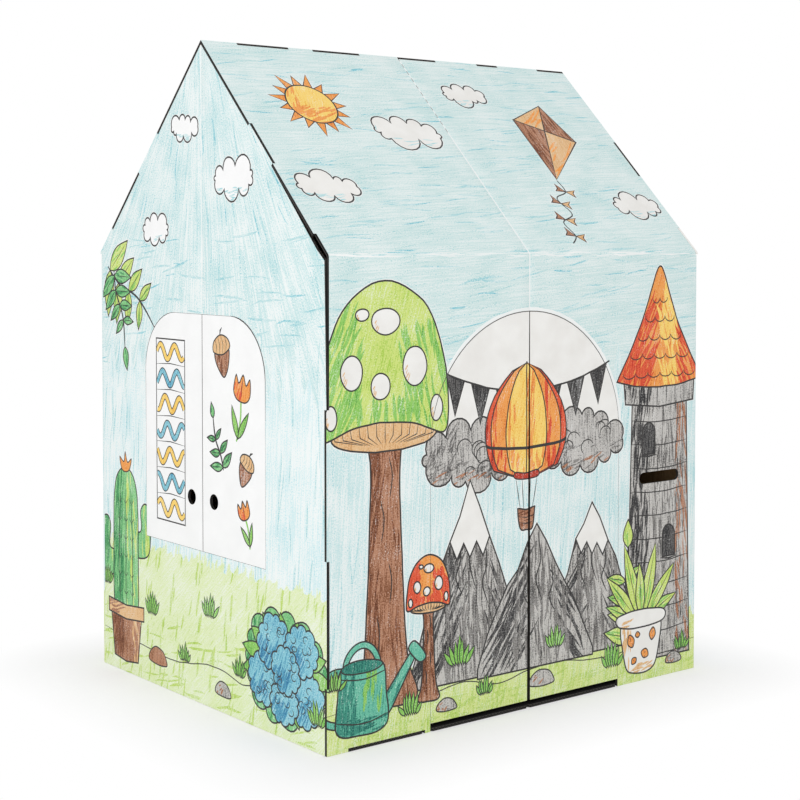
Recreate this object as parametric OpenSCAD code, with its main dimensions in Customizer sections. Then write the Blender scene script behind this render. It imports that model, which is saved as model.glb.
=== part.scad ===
// Child's playhouse of die-cut corrugated card: two blanks, each folded into a long wall, a roof and a gable,
// and a floor, locked edge to edge by box-joint fingers, with flap doors and flap shutters. Millimetres,
// +Z up, origin on the ground in the middle of the house, front wall facing -Y.

/* [House] */
// Length outside, along the ridge
house_l = 820; // [760:1:1000]
// Depth outside, front wall to back wall
house_w = 700; // [640:1:860]
// Height of the eaves, where wall and roof faces would meet
wall_h = 750; // [720:1:860]
// Height of the ridge
ridge_h = 1100; // [1020:1:1250]

/* [Board] */
// Thickness of the corrugated board
board_t = 5; // [3:0.5:7]
// Inside radius of the folds at the eaves
fold_r = 3; // [1:0.5:8]
// Play between interlocked sheets
fit_gap = 0.25; // [0.1:0.05:0.5]
// Width of the cut line around each flap
flap_gap = 0.5; // [0.3:0.1:1]
// Width of a pressed crease line
crease_w = 2.4; // [1:0.2:4]
// Depth of a pressed crease line
crease_d = 0.5; // [0.2:0.1:1]

/* [Ridge fingers] */
// First change of sheet, from the middle of the ridge
ridge_cut_1 = 87; // [60:1:110]
// Second change of sheet, from the middle of the ridge
ridge_cut_2 = 187; // [150:1:205]
// Third change of sheet, from the middle of the ridge
ridge_cut_3 = 238; // [220:1:260]
// Length of the finger at the end of the ridge
ridge_end = 69; // [40:1:90]

/* [Gable fingers] */
// Top of the slope finger, down the slope from the ridge
slope_finger_top = 204; // [150:1:240]
// Bottom of the slope finger
slope_finger_end = 296; // [260:1:340]
// Top of the eave finger, up the slope from the eave
eave_finger_up = 45; // [30:1:110]
// Bottom of the eave finger, down the wall from the eave
eave_finger_down = 230; // [150:1:290]
// Top of the wall finger, above the ground
wall_finger_top = 293; // [240:1:380]
// Bottom of the wall finger, above the ground
wall_finger_end = 102; // [60:1:160]
// Top of the finger over a folded corner, up the slope from the eave
corner_finger_up = 62; // [30:1:110]
// Height of the cut between a folded corner and the eave
corner_cut = 2; // [1:0.5:6]
// How far the left gable stands back from the front wall below the sprung eave
eave_slack = 4.5; // [0:0.5:8]
// Depth of the opening between the left gable's corner and the sprung eave
eave_gap = 11; // [8:0.5:20]

/* [Door] */
// Width of the doorway
door_w = 420; // [360:1:430]
// Height of wall between the crown of the doorway and the eave
door_head = 94; // [60:1:190]
// Height of the door leaves' lower edge
door_sill = 13; // [9:1:30]
// Width of the split between two flaps
split_w = 1.6; // [1:0.2:4]
// Width of the door's split at its foot, where the leaves stand apart
split_foot = 7; // [1:0.5:12]

/* [Letter slot] */
// Length of the slot
slot_l = 100; // [60:1:130]
// Height of the slot, with round ends
slot_h = 20; // [12:1:40]
// Middle of the slot, right of the middle of the pier beside the door
slot_off = 2; // [-30:1:30]
// Middle of the slot, above the ground
slot_z = 356; // [250:1:480]

/* [Window] */
// Width of each gable's window
window_w = 374; // [300:1:420]
// Height of the window
window_h = 394; // [320:1:430]
// Height of its lower edge above the ground
window_z = 256; // [200:1:290]
// Radius of its upper corners
window_r = 100; // [40:1:140]
// Diameter of the finger hole in each shutter
hole_d = 26; // [18:1:34]
// Middle of the finger hole, from the split
hole_off = 35; // [24:1:60]
// Middle of the finger hole, above the window's lower edge
hole_up = 87; // [40:1:160]

/* [Floor] */
// Width of the wall's foot between the doorway and the floor tab
door_foot = 11; // [8:1:40]
// Length of wall between the floor tab and the end of the house
tab_end = 40; // [36:1:80]
// Corner cut on the tab and on the doorway's edge of the floor
tab_corner = 6; // [2:0.5:10]
// Depth of the notch where the floor's crease meets the doorway
crease_notch = 5; // [2:0.5:10]

/* [Hidden] */
$fn = 64;
// Overshoot of a cut past the face that it opens
over = 1;

half_l = house_l / 2;
half_w = house_w / 2;
pitch = atan2(ridge_h - wall_h, half_w);
slope_l = half_w / cos(pitch);
// How far a sheet's edge stands back from the outer face of the sheet that it meets
set_back = board_t + fit_gap;

// Ends of the eave finger, down the slope from the ridge and above the ground
eave_finger_top = slope_l - eave_finger_up;
eave_finger_end = wall_h - eave_finger_down;
corner_finger_top = slope_l - corner_finger_up;

// Outer radius of the eaves' folds, and the length from the eave's corner to where its arc starts
bend_r = fold_r + board_t;
bend_t = bend_r * tan((90 - pitch) / 2);
bend_centre = [-half_w + bend_r, wall_h - bend_t];
// Height where the wall starts to bend into the roof
bend_z = bend_centre[1];

// Changes of sheet along the ridge that are counted from its end
ridge_cut_4 = half_l - ridge_end;

// X ranges of the front sheet's ridge fingers: the back sheet is the same blank turned half round
ridge_fingers = [
    [-half_l, -ridge_cut_4],
    [-ridge_cut_3, -ridge_cut_2],
    [-ridge_cut_1, 0],
    [ridge_cut_1, ridge_cut_2],
    [ridge_cut_3, ridge_cut_4]
];

door_r = door_w / 2;
door_h = wall_h - door_head;
door_spring = door_h - door_r;
slot_x = (door_r + half_l) / 2 + slot_off;
tab_in = door_r + door_foot;
tab_out = half_l - tab_end;
hole_z = window_z + hole_up;

// Where the front roof's face, set in by d, meets the back roof's face, set in by e, as [y, z]
function ridge_point(d, e) =
    let (y = (d - e) / (2 * sin(pitch)))
    [y, ridge_h + y * tan(pitch) - d / cos(pitch)];

// Point on the front roof, a length down the slope from the ridge and a depth below its face
function slope_point(down, depth) = [
    -down * cos(pitch) + depth * sin(pitch),
    ridge_h - down * sin(pitch) - depth * cos(pitch)
];

// A [y, z] outline extruded along the ridge from one X to another
module along_x(from, to) {
    translate([from, 0, 0])
        rotate([90, 0, 90])
            linear_extrude(to - from)
                children();
}

// An [x, z] outline extruded through the front wall's board, with an overshoot on both faces
module through_front(extra) {
    translate([0, -half_w + board_t + extra, 0])
        rotate([90, 0, 0])
            linear_extrude(board_t + 2 * extra)
                children();
}

// The left gable's place for a [y, z] outline, with an overshoot on both faces
module through_left(extra) {
    along_x(-half_l - extra, -half_l + board_t + extra)
        children();
}

module half_turn() {
    rotate([0, 0, 180])
        children();
}

// Corners of the gable end's outline, set in from the sheets' faces, as [y, z]
function house_points(inset, foot) =
    let (wall_y = half_w - inset)
    let (eave_z = ridge_h - wall_y * tan(pitch) - inset / cos(pitch))
    [
        [-wall_y, foot],
        [-wall_y, eave_z],
        [0, ridge_h - inset / cos(pitch)],
        [wall_y, eave_z],
        [wall_y, foot]
    ];

// The gable end's outline, set in from the sheets' faces, its eaves rounded about the bend's centre
module rounded_outline(inset, foot) {
    difference() {
        polygon(house_points(inset, foot));
        for (side = [0, 1])
            mirror([side, 0])
                difference() {
                    polygon([
                        bend_centre,
                        bend_centre + 2 * bend_r * [-1, 0],
                        bend_centre + 2 * bend_r * [-1, tan((90 - pitch) / 2)],
                        bend_centre + 2 * bend_r * [-sin(pitch), cos(pitch)]
                    ]);
                    translate(bend_centre)
                        circle(bend_r - inset);
                }
    }
}

// End view of the front sheet, folded at the eave, its roof reaching the back roof's face
module fold_profile() {
    inner_top = ridge_point(board_t, board_t);
    inner_end = ridge_point(board_t, -over);
    difference() {
        rounded_outline(0, 0);
        rounded_outline(board_t, -over);
        polygon([
            inner_top,
            inner_end,
            [half_w + over, inner_end[1]],
            [half_w + over, -over],
            [0, -over]
        ]);
    }
}

// End view of the notch that lets a finger of the back sheet through the front sheet at the ridge
module ridge_notch() {
    polygon([
        ridge_point(-over, set_back),
        ridge_point(-over, -over),
        ridge_point(board_t + over, -over),
        ridge_point(board_t + over, set_back)
    ]);
}

// Stretch of the front slope between two lengths down from the ridge, cut square to the board
module slope_band(top, end, depth) {
    polygon([
        slope_point(top, -over),
        slope_point(end, -over),
        slope_point(end, depth),
        slope_point(top, depth)
    ]);
}

// Stretch of the front wall between two heights
module wall_band(top, end, depth) {
    translate([-half_w - over, end])
        square([depth + over, top - end]);
}

// Notches in a roof's end, where a gable's slope finger and its finger at the eave pass through
module roof_notches(eave_top) {
    depth = 2 * set_back;
    slope_band(slope_finger_top - fit_gap, slope_finger_end + fit_gap, depth);
    slope_band(eave_top - fit_gap, slope_l, depth);
    wall_band(wall_h + over, bend_z, depth);
}

// Notches in a wall's loose end, where the other blank's gable passes through
module wall_notches() {
    depth = 2 * set_back;
    wall_band(wall_h, eave_finger_end - fit_gap, depth);
    wall_band(wall_finger_top + fit_gap, wall_finger_end - fit_gap, depth);
}

// Notches in a gable's slope, where a roof's fingers lie over it
module slope_notches(eave_top) {
    slope_band(-set_back, slope_finger_top, set_back);
    slope_band(slope_finger_end, eave_top, set_back);
}

// Notches in a gable's loose edge, where the other blank's wall lies over it
module loose_edge_notches() {
    wall_band(eave_finger_end, wall_finger_top, set_back);
    wall_band(wall_finger_end, -over, set_back);
}

// What the left gable lacks at the front eave, where the folded sheet has sprung away from it
module eave_slack_outline() {
    polygon([
        slope_point(slope_finger_end, set_back),
        slope_point(slope_finger_end, -over),
        slope_point(slope_l, -bend_r),
        [-half_w - over, wall_h],
        [-half_w - over, eave_finger_end],
        [-half_w, eave_finger_end],
        [-half_w + eave_slack, wall_h - bend_t - eave_slack],
        slope_point(slope_l - eave_finger_up / 2, eave_gap)
    ]);
}

// Crease over the roof and down the wall, at the middle of the sheet
module sheet_crease() {
    along_x(-crease_w / 2, crease_w / 2)
        difference() {
            translate([-half_w - over, -over])
                square([half_w + over, ridge_h + 2 * over]);
            rounded_outline(crease_d, -2 * over);
        }
}

// The front wall and its roof, from the loose left end to the folded right end
module wall_and_roof() {
    difference() {
        along_x(-half_l, half_l)
            fold_profile();
        half_turn()
            for (finger = ridge_fingers)
                along_x(finger[0] - fit_gap / 2, finger[1] + fit_gap / 2)
                    mirror([1, 0])
                        ridge_notch();
        along_x(-half_l - over, -half_l + set_back) {
            roof_notches(eave_finger_top);
            wall_notches();
        }
        along_x(half_l - set_back, half_l + over) {
            roof_notches(corner_finger_top);
            wall_band(bend_z, bend_z - corner_cut, 2 * set_back);
        }
        along_x(half_l - board_t, half_l + over)
            wall_band(bend_z - corner_cut, -over, 2 * set_back);
        translate([-tab_out - fit_gap, -half_w - over, -over])
            cube([tab_out - tab_in + 2 * fit_gap, board_t + 2 * over, set_back + over]);
        sheet_crease();
    }
}

module window_outline(inset) {
    width = window_w - 2 * inset;
    radius = window_r - inset;
    shoulder = window_z + window_h - window_r;
    translate([-width / 2, window_z + inset])
        square([width, shoulder - window_z - inset]);
    translate([-width / 2 + radius, shoulder])
        square([width - 2 * radius, radius]);
    for (side = [-1, 1])
        translate([side * (width / 2 - radius), shoulder])
            circle(radius);
}

// Gable at the left end of the house, its back edge ending where the corner's fold starts
module gable_panel() {
    difference() {
        through_left(0)
            difference() {
                rounded_outline(0, 0);
                slope_notches(eave_finger_top);
                loose_edge_notches();
                mirror([1, 0]) {
                    slope_notches(corner_finger_top);
                    wall_band(bend_z, -over, board_t);
                }
                window_outline(0);
            }
        translate([-half_l - over, -crease_w / 2, -over])
            cube([over + crease_d, crease_w, ridge_h + 2 * over]);
    }
}

// Scored fold between the left gable and the back wall, sharp inside
module corner_fold() {
    translate([-half_l + board_t, half_w - board_t, 0])
        linear_extrude(bend_z - corner_cut)
            intersection() {
                circle(board_t);
                translate([-board_t, 0])
                    square(board_t);
            }
}

// One die-cut blank, folded at the eave and at the right corner: the front sheet before its doorway and slot
module sheet_blank() {
    wall_and_roof();
    half_turn() {
        corner_fold();
        gable_panel();
    }
}

module doorway_outline(inset) {
    width = door_w - 2 * inset;
    translate([-width / 2, -over])
        square([width, door_spring + over]);
    translate([0, door_spring])
        circle(door_r - inset);
}

module slot_outline() {
    translate([slot_x, slot_z]) {
        square([slot_l - slot_h, slot_h], center = true);
        for (side = [-1, 1])
            translate([side * (slot_l - slot_h) / 2, 0])
                circle(d = slot_h);
    }
}

module front_sheet() {
    color("azure")
        difference() {
            sheet_blank();
            through_front(over)
                doorway_outline(0);
            through_front(over)
                slot_outline();
        }
}

module back_sheet() {
    color("lightcyan")
        difference() {
            half_turn()
                sheet_blank();
            through_left(over)
                eave_slack_outline();
        }
}

// The floor inside the walls
module floor_outline() {
    square([house_l - 2 * set_back, house_w - 2 * set_back], center = true);
}

// Edge of the floor that shows under the door, with cut corners and a notch at the crease
module doorstep_outline() {
    reach = door_r - fit_gap;
    polygon([
        [-reach, -half_w + 2 * set_back],
        [-reach, -half_w + tab_corner],
        [-reach + tab_corner, -half_w],
        [-crease_notch, -half_w],
        [0, -half_w + crease_notch],
        [crease_notch, -half_w],
        [reach - tab_corner, -half_w],
        [reach, -half_w + tab_corner],
        [reach, -half_w + 2 * set_back]
    ]);
}

module floor_tab_outline() {
    polygon([
        [-tab_out, -half_w + 2 * set_back],
        [-tab_out, -half_w + board_t],
        [-tab_out, -half_w],
        [-tab_in - tab_corner, -half_w],
        [-tab_in, -half_w + tab_corner],
        [-tab_in, -half_w + 2 * set_back]
    ]);
}

module floor_sheet() {
    color("dimgray")
        difference() {
            linear_extrude(board_t)
                union() {
                    floor_outline();
                    doorstep_outline();
                    floor_tab_outline();
                    rotate(180)
                        floor_tab_outline();
                }
            translate([-crease_w / 2, -half_w, board_t - crease_d])
                cube([crease_w, house_w, over]);
        }
}

// Left leaf of the door, hinged at its own edge of the doorway
module left_leaf() {
    through_front(0)
        intersection() {
            doorway_outline(flap_gap);
            polygon([
                [-door_w, door_sill],
                [-split_foot / 2, door_sill],
                [-split_w / 2, door_h],
                [-door_w, door_h]
            ]);
        }
}

module left_door_leaf() {
    color("whitesmoke")
        left_leaf();
}

module right_door_leaf() {
    color("whitesmoke")
        mirror([1, 0, 0])
            left_leaf();
}

// Shutter of the left gable on the front side of its split
module front_shutter() {
    through_left(0)
        difference() {
            intersection() {
                window_outline(flap_gap);
                translate([-window_w, 0])
                    square([window_w - split_w / 2, ridge_h]);
            }
            translate([-hole_off, hole_z])
                circle(d = hole_d);
        }
}

module left_front_shutter() {
    color("white")
        front_shutter();
}

module left_back_shutter() {
    color("white")
        mirror([0, 1, 0])
            front_shutter();
}

module right_front_shutter() {
    color("white")
        mirror([1, 0, 0])
            front_shutter();
}

module right_back_shutter() {
    color("white")
        half_turn()
            front_shutter();
}

front_sheet();
back_sheet();
floor_sheet();
left_door_leaf();
right_door_leaf();
left_front_shutter();
left_back_shutter();
right_front_shutter();
right_back_shutter();
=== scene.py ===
"""Looks of a child's playhouse of printed corrugated card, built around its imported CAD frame.

Each board is laid out as its flat, unfolded sheet, in millimetres. Its print is drawn there, shape over
shape, and cut into the sheet's face, and the sheet is then folded into the place of its CAD node.
"""

import math
import random

import bpy
import numpy as np
from mathutils import Matrix, Vector, kdtree, noise
from mathutils.geometry import delaunay_2d_cdt


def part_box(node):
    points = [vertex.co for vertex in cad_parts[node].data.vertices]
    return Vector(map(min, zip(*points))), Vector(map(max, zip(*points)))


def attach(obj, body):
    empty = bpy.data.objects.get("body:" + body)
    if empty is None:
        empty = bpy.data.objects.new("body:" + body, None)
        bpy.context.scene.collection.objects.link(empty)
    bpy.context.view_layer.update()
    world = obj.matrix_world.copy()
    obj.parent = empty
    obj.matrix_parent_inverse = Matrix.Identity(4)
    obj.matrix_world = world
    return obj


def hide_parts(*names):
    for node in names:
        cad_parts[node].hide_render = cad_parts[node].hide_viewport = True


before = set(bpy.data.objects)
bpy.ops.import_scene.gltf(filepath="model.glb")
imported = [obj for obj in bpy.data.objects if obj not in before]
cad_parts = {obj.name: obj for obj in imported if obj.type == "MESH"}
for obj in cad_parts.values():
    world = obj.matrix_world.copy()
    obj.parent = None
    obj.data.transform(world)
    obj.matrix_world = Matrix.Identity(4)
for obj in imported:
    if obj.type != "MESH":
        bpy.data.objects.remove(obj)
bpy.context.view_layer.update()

# Sizes of the house, in millimetres
MM = 0.001
WALL_H = 750.0
BEND_R = 8.0
BEND_STEPS = 6
SHARP_TURN = 30.0
CREASE_W = 2.4
CREASE_DIP = 0.4
FLUTE = 7.0
DOOR_R = 210.0
DOOR_H = 656.0
WINDOW_W = 374.0
WINDOW_H = 394.0
WINDOW_Z = 256.0
WINDOW_R = 100.0

sheet_low, sheet_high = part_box("front_sheet")
BOARD_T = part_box("floor_sheet")[1].z / MM
HALF_L = sheet_high.x / MM
HALF_W = -sheet_low.y / MM
RIDGE_H = sheet_high.z / MM
PITCH = math.atan2(RIDGE_H - WALL_H, HALF_W)
FOLD = math.pi / 2 - PITCH
BEND_START = WALL_H - BEND_R * math.tan(FOLD / 2)
BEND_END = BEND_START + BEND_R * FOLD
SHEET_TOP = BEND_END + HALF_W / math.cos(PITCH) - BEND_R * math.tan(FOLD / 2)

# A blank's gable on the flat sheet: where the wall bends at the corner, and the gable's middle
CORNER_R = 6.0
CORNER_CUT = 2.0
CORNER_FINGER = 46.0
CORNER_U = HALF_L - CORNER_R
GABLE_U = CORNER_U + CORNER_R * math.pi / 2 + HALF_W - CORNER_R
GABLE_FACING = 0.99
BEND_FACING = 0.01
FAR = 2 * RIDGE_H

# Drawing
INK_W = 2.8
HAND_SPAN = 26.0
HAND_DRIFT = 1.3
DRIFT_SEED = 1
HALO_W = 2.4
HALO_SPAN = 8.0
MERGE = 0.01
WELD = 0.05
PAPER = (246, 249, 248)
BUMP = 0.4
TOOTH = 0.95
PATCH = 0.45
FAN_RISE = 90.0
FAN_REACH = 350.0
STRAY = 9.0
STRAIGHT = 0.002
SKY_PAINTS = ("sky", "sky_low", "haze", "haze_low", "sky_mark", "sky_deep")

noise.seed_set(DRIFT_SEED)


# Folding and unfolding

def unroll(out, along, radius, most):
    """Length along the outer face and height off it, for a point seen from a bend's centre."""
    angle = min(max(math.atan2(along, out), 0.0), most)
    past = along * math.cos(angle) - out * math.sin(angle)
    return radius * angle + past, along * math.sin(angle) + out * math.cos(angle) - radius


def roll(length, height, radius, most):
    """A point seen from a bend's centre, for a length along the outer face and a height off it."""
    bent = min(max(length, 0.0), radius * most)
    angle = bent / radius
    past = length - bent
    return ((radius + height) * math.cos(angle) - past * math.sin(angle),
            (radius + height) * math.sin(angle) + past * math.cos(angle))


def unfold_sheet(co, normal):
    """A point's place on the flat blank, by the way its face looks: gable, corner bend, or wall and roof."""
    x, y, z = co / MM
    if normal.x > GABLE_FACING:
        return Vector((GABLE_U + y, z, x - HALF_L))
    if normal.x > BEND_FACING:
        length, height = unroll(CORNER_R - HALF_W - y, x - CORNER_U, CORNER_R, math.pi / 2)
        return Vector((CORNER_U + length, z, height))
    length, height = unroll(BEND_R - HALF_W - y, z - BEND_START, BEND_R, FOLD)
    return Vector((x, BEND_START + length, height))


def gable_edge(v):
    """Where the gable's slope beside the roof lies on the flat blank."""
    return GABLE_U - HALF_W + max(v - WALL_H, 0.0) / math.tan(PITCH)


def fold_sheet(u, v, h):
    if v < BEND_START - CORNER_CUT / 2:
        out, across = roll(u - CORNER_U, h, CORNER_R, math.pi / 2)
        return Vector((CORNER_U + across, CORNER_R - HALF_W - out, v)) * MM
    if u > gable_edge(v) - BOARD_T / 10:
        return Vector((HALF_L + h, u - GABLE_U, v)) * MM
    out, up = roll(v - BEND_START, h, BEND_R, FOLD)
    return Vector((u, BEND_R - HALF_W - out, BEND_START + up)) * MM


def unfold_floor(co, normal):
    return Vector((co.x / MM, co.y / MM, co.z / MM - BOARD_T))


def fold_floor(u, v, h):
    return Vector((u, v, BOARD_T + h)) * MM


def half_turn(co):
    return Vector((-co.x, -co.y, co.z))


class Side:
    """One blank of the house: how the points of its faces unfold into a flat sheet and fold back again."""

    def __init__(self, unfold, fold, turned=False):
        self.unfold = unfold
        self.fold = fold
        self.turned = turned

    def flat(self, co, normal):
        return self.unfold(half_turn(co), half_turn(normal)) if self.turned else self.unfold(co, normal)

    def placed(self, u, v, h):
        co = self.fold(u, v, h)
        return half_turn(co) if self.turned else co


# Outlines, as lists of 2-D points

def points(*pairs):
    return [Vector(pair) for pair in pairs]


def smooth(corners, closed=True, steps=6):
    """A curve through the corners."""
    count = len(corners)
    spans = range(count if closed else count - 1)

    def corner(index):
        return corners[index % count] if closed else corners[min(max(index, 0), count - 1)]

    curve = []
    for span in spans:
        p0, p1, p2, p3 = (corner(span + offset) for offset in (-1, 0, 1, 2))
        for step in range(steps):
            t = step / steps
            curve.append(0.5 * (
                2 * p1 + (p2 - p0) * t + (2 * p0 - 5 * p1 + 4 * p2 - p3) * t ** 2
                + (3 * p1 - p0 - 3 * p2 + p3) * t ** 3))
    if not closed:
        curve.append(corners[-1])
    return curve


def ellipse(x, y, rx, ry, steps=28, start=0.0, sweep=360.0):
    count = steps if sweep == 360.0 else steps + 1
    turns = [math.radians(start + sweep * step / steps) for step in range(count)]
    return [Vector((x + rx * math.cos(turn), y + ry * math.sin(turn))) for turn in turns]


def box(x0, y0, x1, y1):
    return points((x0, y0), (x1, y0), (x1, y1), (x0, y1))


def scalloped(anchors, bulge=0.42, steps=8):
    """Round lobes from each anchor to the next, bulging out of a counter-clockwise outline."""
    outline = []
    opening = 2 * math.atan(2 * bulge)
    for start, end in zip(anchors, anchors[1:] + anchors[:1]):
        along = (end - start) / (2 * math.sin(opening))
        out = Vector((along.y, -along.x))
        for step in range(steps):
            turn = opening * (2 * step / steps - 1)
            lift = math.cos(turn) - math.cos(opening)
            outline.append((start + end) / 2 + along * math.sin(turn) + out * lift)
    return outline


def ring_of(x, y, rx, ry, count, chance, spread=0.16):
    """Anchors round an ellipse at uneven steps."""
    anchors = []
    for index in range(count):
        turn = math.tau * (index + chance.uniform(-spread, spread)) / count
        reach = 1 + chance.uniform(-spread, spread) * 0.6
        anchors.append(Vector((x + rx * reach * math.cos(turn), y + ry * reach * math.sin(turn))))
    return anchors


def leaf_outline(base, tip, width, steps=7):
    """A pointed leaf, widest a little below its middle."""
    axis = tip - base
    across = Vector((-axis.y, axis.x)).normalized() * width / 2
    left, right = [], []
    for step in range(1, steps):
        t = step / steps
        swell = math.sin(math.pi * t ** 0.8)
        left.append(base + axis * t + across * swell)
        right.append(base + axis * t - across * swell)
    return [base] + right + [tip] + left[::-1]


def extent(outline):
    """Lower left and upper right corners of the box round an outline."""
    across, up = zip(*outline)
    return Vector((min(across), min(up))), Vector((max(across), max(up)))


def area(outline):
    return sum(a.cross(b) for a, b in zip(outline, outline[1:] + outline[:1])) / 2


def counter_clockwise(outline):
    return outline if area(outline) > 0 else outline[::-1]


def outset(outline, distance):
    """The closed outline moved outwards, its corners mitred."""
    moved = []
    for before, here, after in zip(outline[-1:] + outline[:-1], outline, outline[1:] + outline[:1]):
        a = (here - before).normalized()
        b = (after - here).normalized()
        mitre = Vector((a.y + b.y, -a.x - b.x))
        moved.append(here + mitre * (2 * distance / max(mitre.length_squared, 0.8)))
    return moved


def ribbon(path, width, taper=0.35):
    """A line of ink along a path, thinner towards its ends."""
    last = len(path) - 1
    left, right = [], []
    for index, here in enumerate(path):
        ahead = path[min(index + 1, last)] - path[max(index - 1, 0)]
        across = Vector((-ahead.y, ahead.x)).normalized() * width / 2
        near_end = min(index, last - index) / max(last, 1)
        press = taper + (1 - taper) * min(near_end * 5, 1.0)
        left.append(here + across * press)
        right.append(here - across * press)
    return right + left[::-1]


def wobble(point):
    """A hand's unsteadiness."""
    return point + HAND_DRIFT * noise.noise_vector(Vector((point.x, point.y, 0)) / HAND_SPAN).xy


def halo_wobble(point):
    return point + 0.9 * HALO_W * noise.noise_vector(Vector((point.x, point.y, 9)) / HALO_SPAN).xy


# Drawing

class Pen:
    """Draws shapes on a sheet, one over another, from a place on it and at a size."""

    def __init__(self, drawing=None, place=Matrix.Identity(4)):
        self.drawing = [] if drawing is None else drawing
        self.place = place

    def at(self, x, y, size=1.0, turn=0.0):
        moved = Matrix.Translation((x, y, 0)) @ Matrix.Rotation(math.radians(turn), 4, "Z")
        return Pen(self.drawing, self.place @ moved @ Matrix.Diagonal((size, size, 1, 1)))

    def laid(self, outline):
        return [wobble((self.place @ point.to_3d()).xy) for point in outline]

    def add(self, outline, paint, within):
        self.drawing.append((outline, paint, within))
        return len(self.drawing) - 1

    def fill(self, outline, paint):
        """A field of colour with no ink round it."""
        return self.add(counter_clockwise(self.laid(outline)), paint, None)

    def exact(self, outline, paint):
        """A field of colour along a cut or crease, without the hand's drift."""
        placed = [(self.place @ point.to_3d()).xy for point in outline]
        return self.add(counter_clockwise(placed), paint, None)

    def shape(self, outline, paint, within=None, ink=INK_W):
        """A field of colour with an ink outline, and bare paper round it where it stands against the sky."""
        drawn = counter_clockwise(self.laid(outline))
        if within is None:
            self.add([halo_wobble(point) for point in outset(drawn, HALO_W)], "halo", None)
        self.add(outset(drawn, ink / 2), "ink", within)
        return self.add(outset(drawn, -ink / 2), paint, within)

    def line(self, path, width=INK_W, paint="ink", within=None, taper=0.35):
        self.add(counter_clockwise(ribbon(self.laid(path), width, taper)), paint, within)

    def shade(self, within, seed, *passes):
        """Pencil strokes within a shape, or over the bare sheet where it is None.

        Each pass gives the box that its strokes are scattered over, its paint, how many strokes there are,
        and their slant, length and width. The slant may be a function of the place.
        """
        for step, (corners, paint, count, slant, length, width) in enumerate(passes):
            chance = random.Random(seed + step)
            x0, y0, x1, y1 = corners
            for _ in range(count):
                middle = Vector((chance.uniform(x0, x1), chance.uniform(y0, y1)))
                lean = slant(middle) if callable(slant) else slant
                turn = math.radians(lean + chance.uniform(-STRAY, STRAY))
                reach = Vector((math.cos(turn), math.sin(turn))) * length * chance.uniform(0.5, 1.1) / 2
                bend = Vector((-reach.y, reach.x)) * chance.uniform(-0.08, 0.08)
                inner = [middle - reach / 2 + bend, middle + reach / 2 + bend]
                stroke = [middle - reach, *inner, middle + reach]
                press = width * chance.uniform(0.6, 1.2)
                if within is None or winding(self.drawing[within][0], np.array(self.laid([middle])))[0]:
                    self.line(stroke, press, paint, within, taper=0.2)


# Things in the print

def cloud(pen, x, y, width, seed, paint="paper"):
    chance = random.Random(seed)
    here = pen.at(x, y, width / 100)
    puff = here.shape(scalloped(ring_of(0, 0, 42, 15, 9, chance, 0.3), 0.48), paint)
    here.shade(puff, seed,
               ((-56, -34, 56, -12), "sky_mark", 40, 6, 18, 2.4),
               ((-62, -26, -42, 20), "sky_mark", 16, 74, 14, 2.2))


def storm_cloud(pen, x, y, width, height, seed):
    """A heavy grey cloud with curls drawn in it."""
    chance = random.Random(seed)
    here = pen.at(x, y)
    rx, ry = width / 2, height / 2
    puff = here.shape(scalloped(ring_of(0, 0, rx, ry, 11, chance, 0.26), 0.46), "grey")
    here.shade(puff, seed,
               ((-rx * 1.3, -ry * 1.5, rx * 1.3, -ry * 0.2), "grey_deep", 70, 16, 26, 2.6),
               ((-rx * 1.3, -ry, -rx * 0.4, ry * 1.4), "grey_deep", 60, 64, 26, 2.6),
               ((-rx, -ry * 1.5, rx, -ry * 0.7), "brown", 24, 24, 24, 2.6))
    for _ in range(8):
        turn = chance.uniform(0, math.tau)
        middle = Vector((rx * math.cos(turn), ry * math.sin(turn))) * chance.uniform(0.2, 0.8)
        size = chance.uniform(10, 19)
        curl = ellipse(middle.x, middle.y, size, size * 0.9, 12, chance.uniform(-30, 60), 220)
        here.line(curl, 2.0, within=puff)


def sun(pen, x, y, size):
    here = pen.at(x, y, size)
    rays = 15
    for index in range(rays):
        turn = math.tau * index / rays
        reach = 84 if index % 2 else 74
        tip = Vector((math.cos(turn), math.sin(turn))) * reach
        side = Vector((-math.sin(turn), math.cos(turn))) * 10
        foot = tip * 46 / reach
        here.shape([foot - side, tip, foot + side], "orange", ink=2.2)
    disc = here.shape(ellipse(0, 0, 50, 50, 40), "yellow")
    here.shade(disc, 5,
               ((-48, -50, 48, -10), "orange", 46, 20, 40, 4),
               ((-50, -20, -20, 46), "orange", 14, 70, 36, 3))


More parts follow.
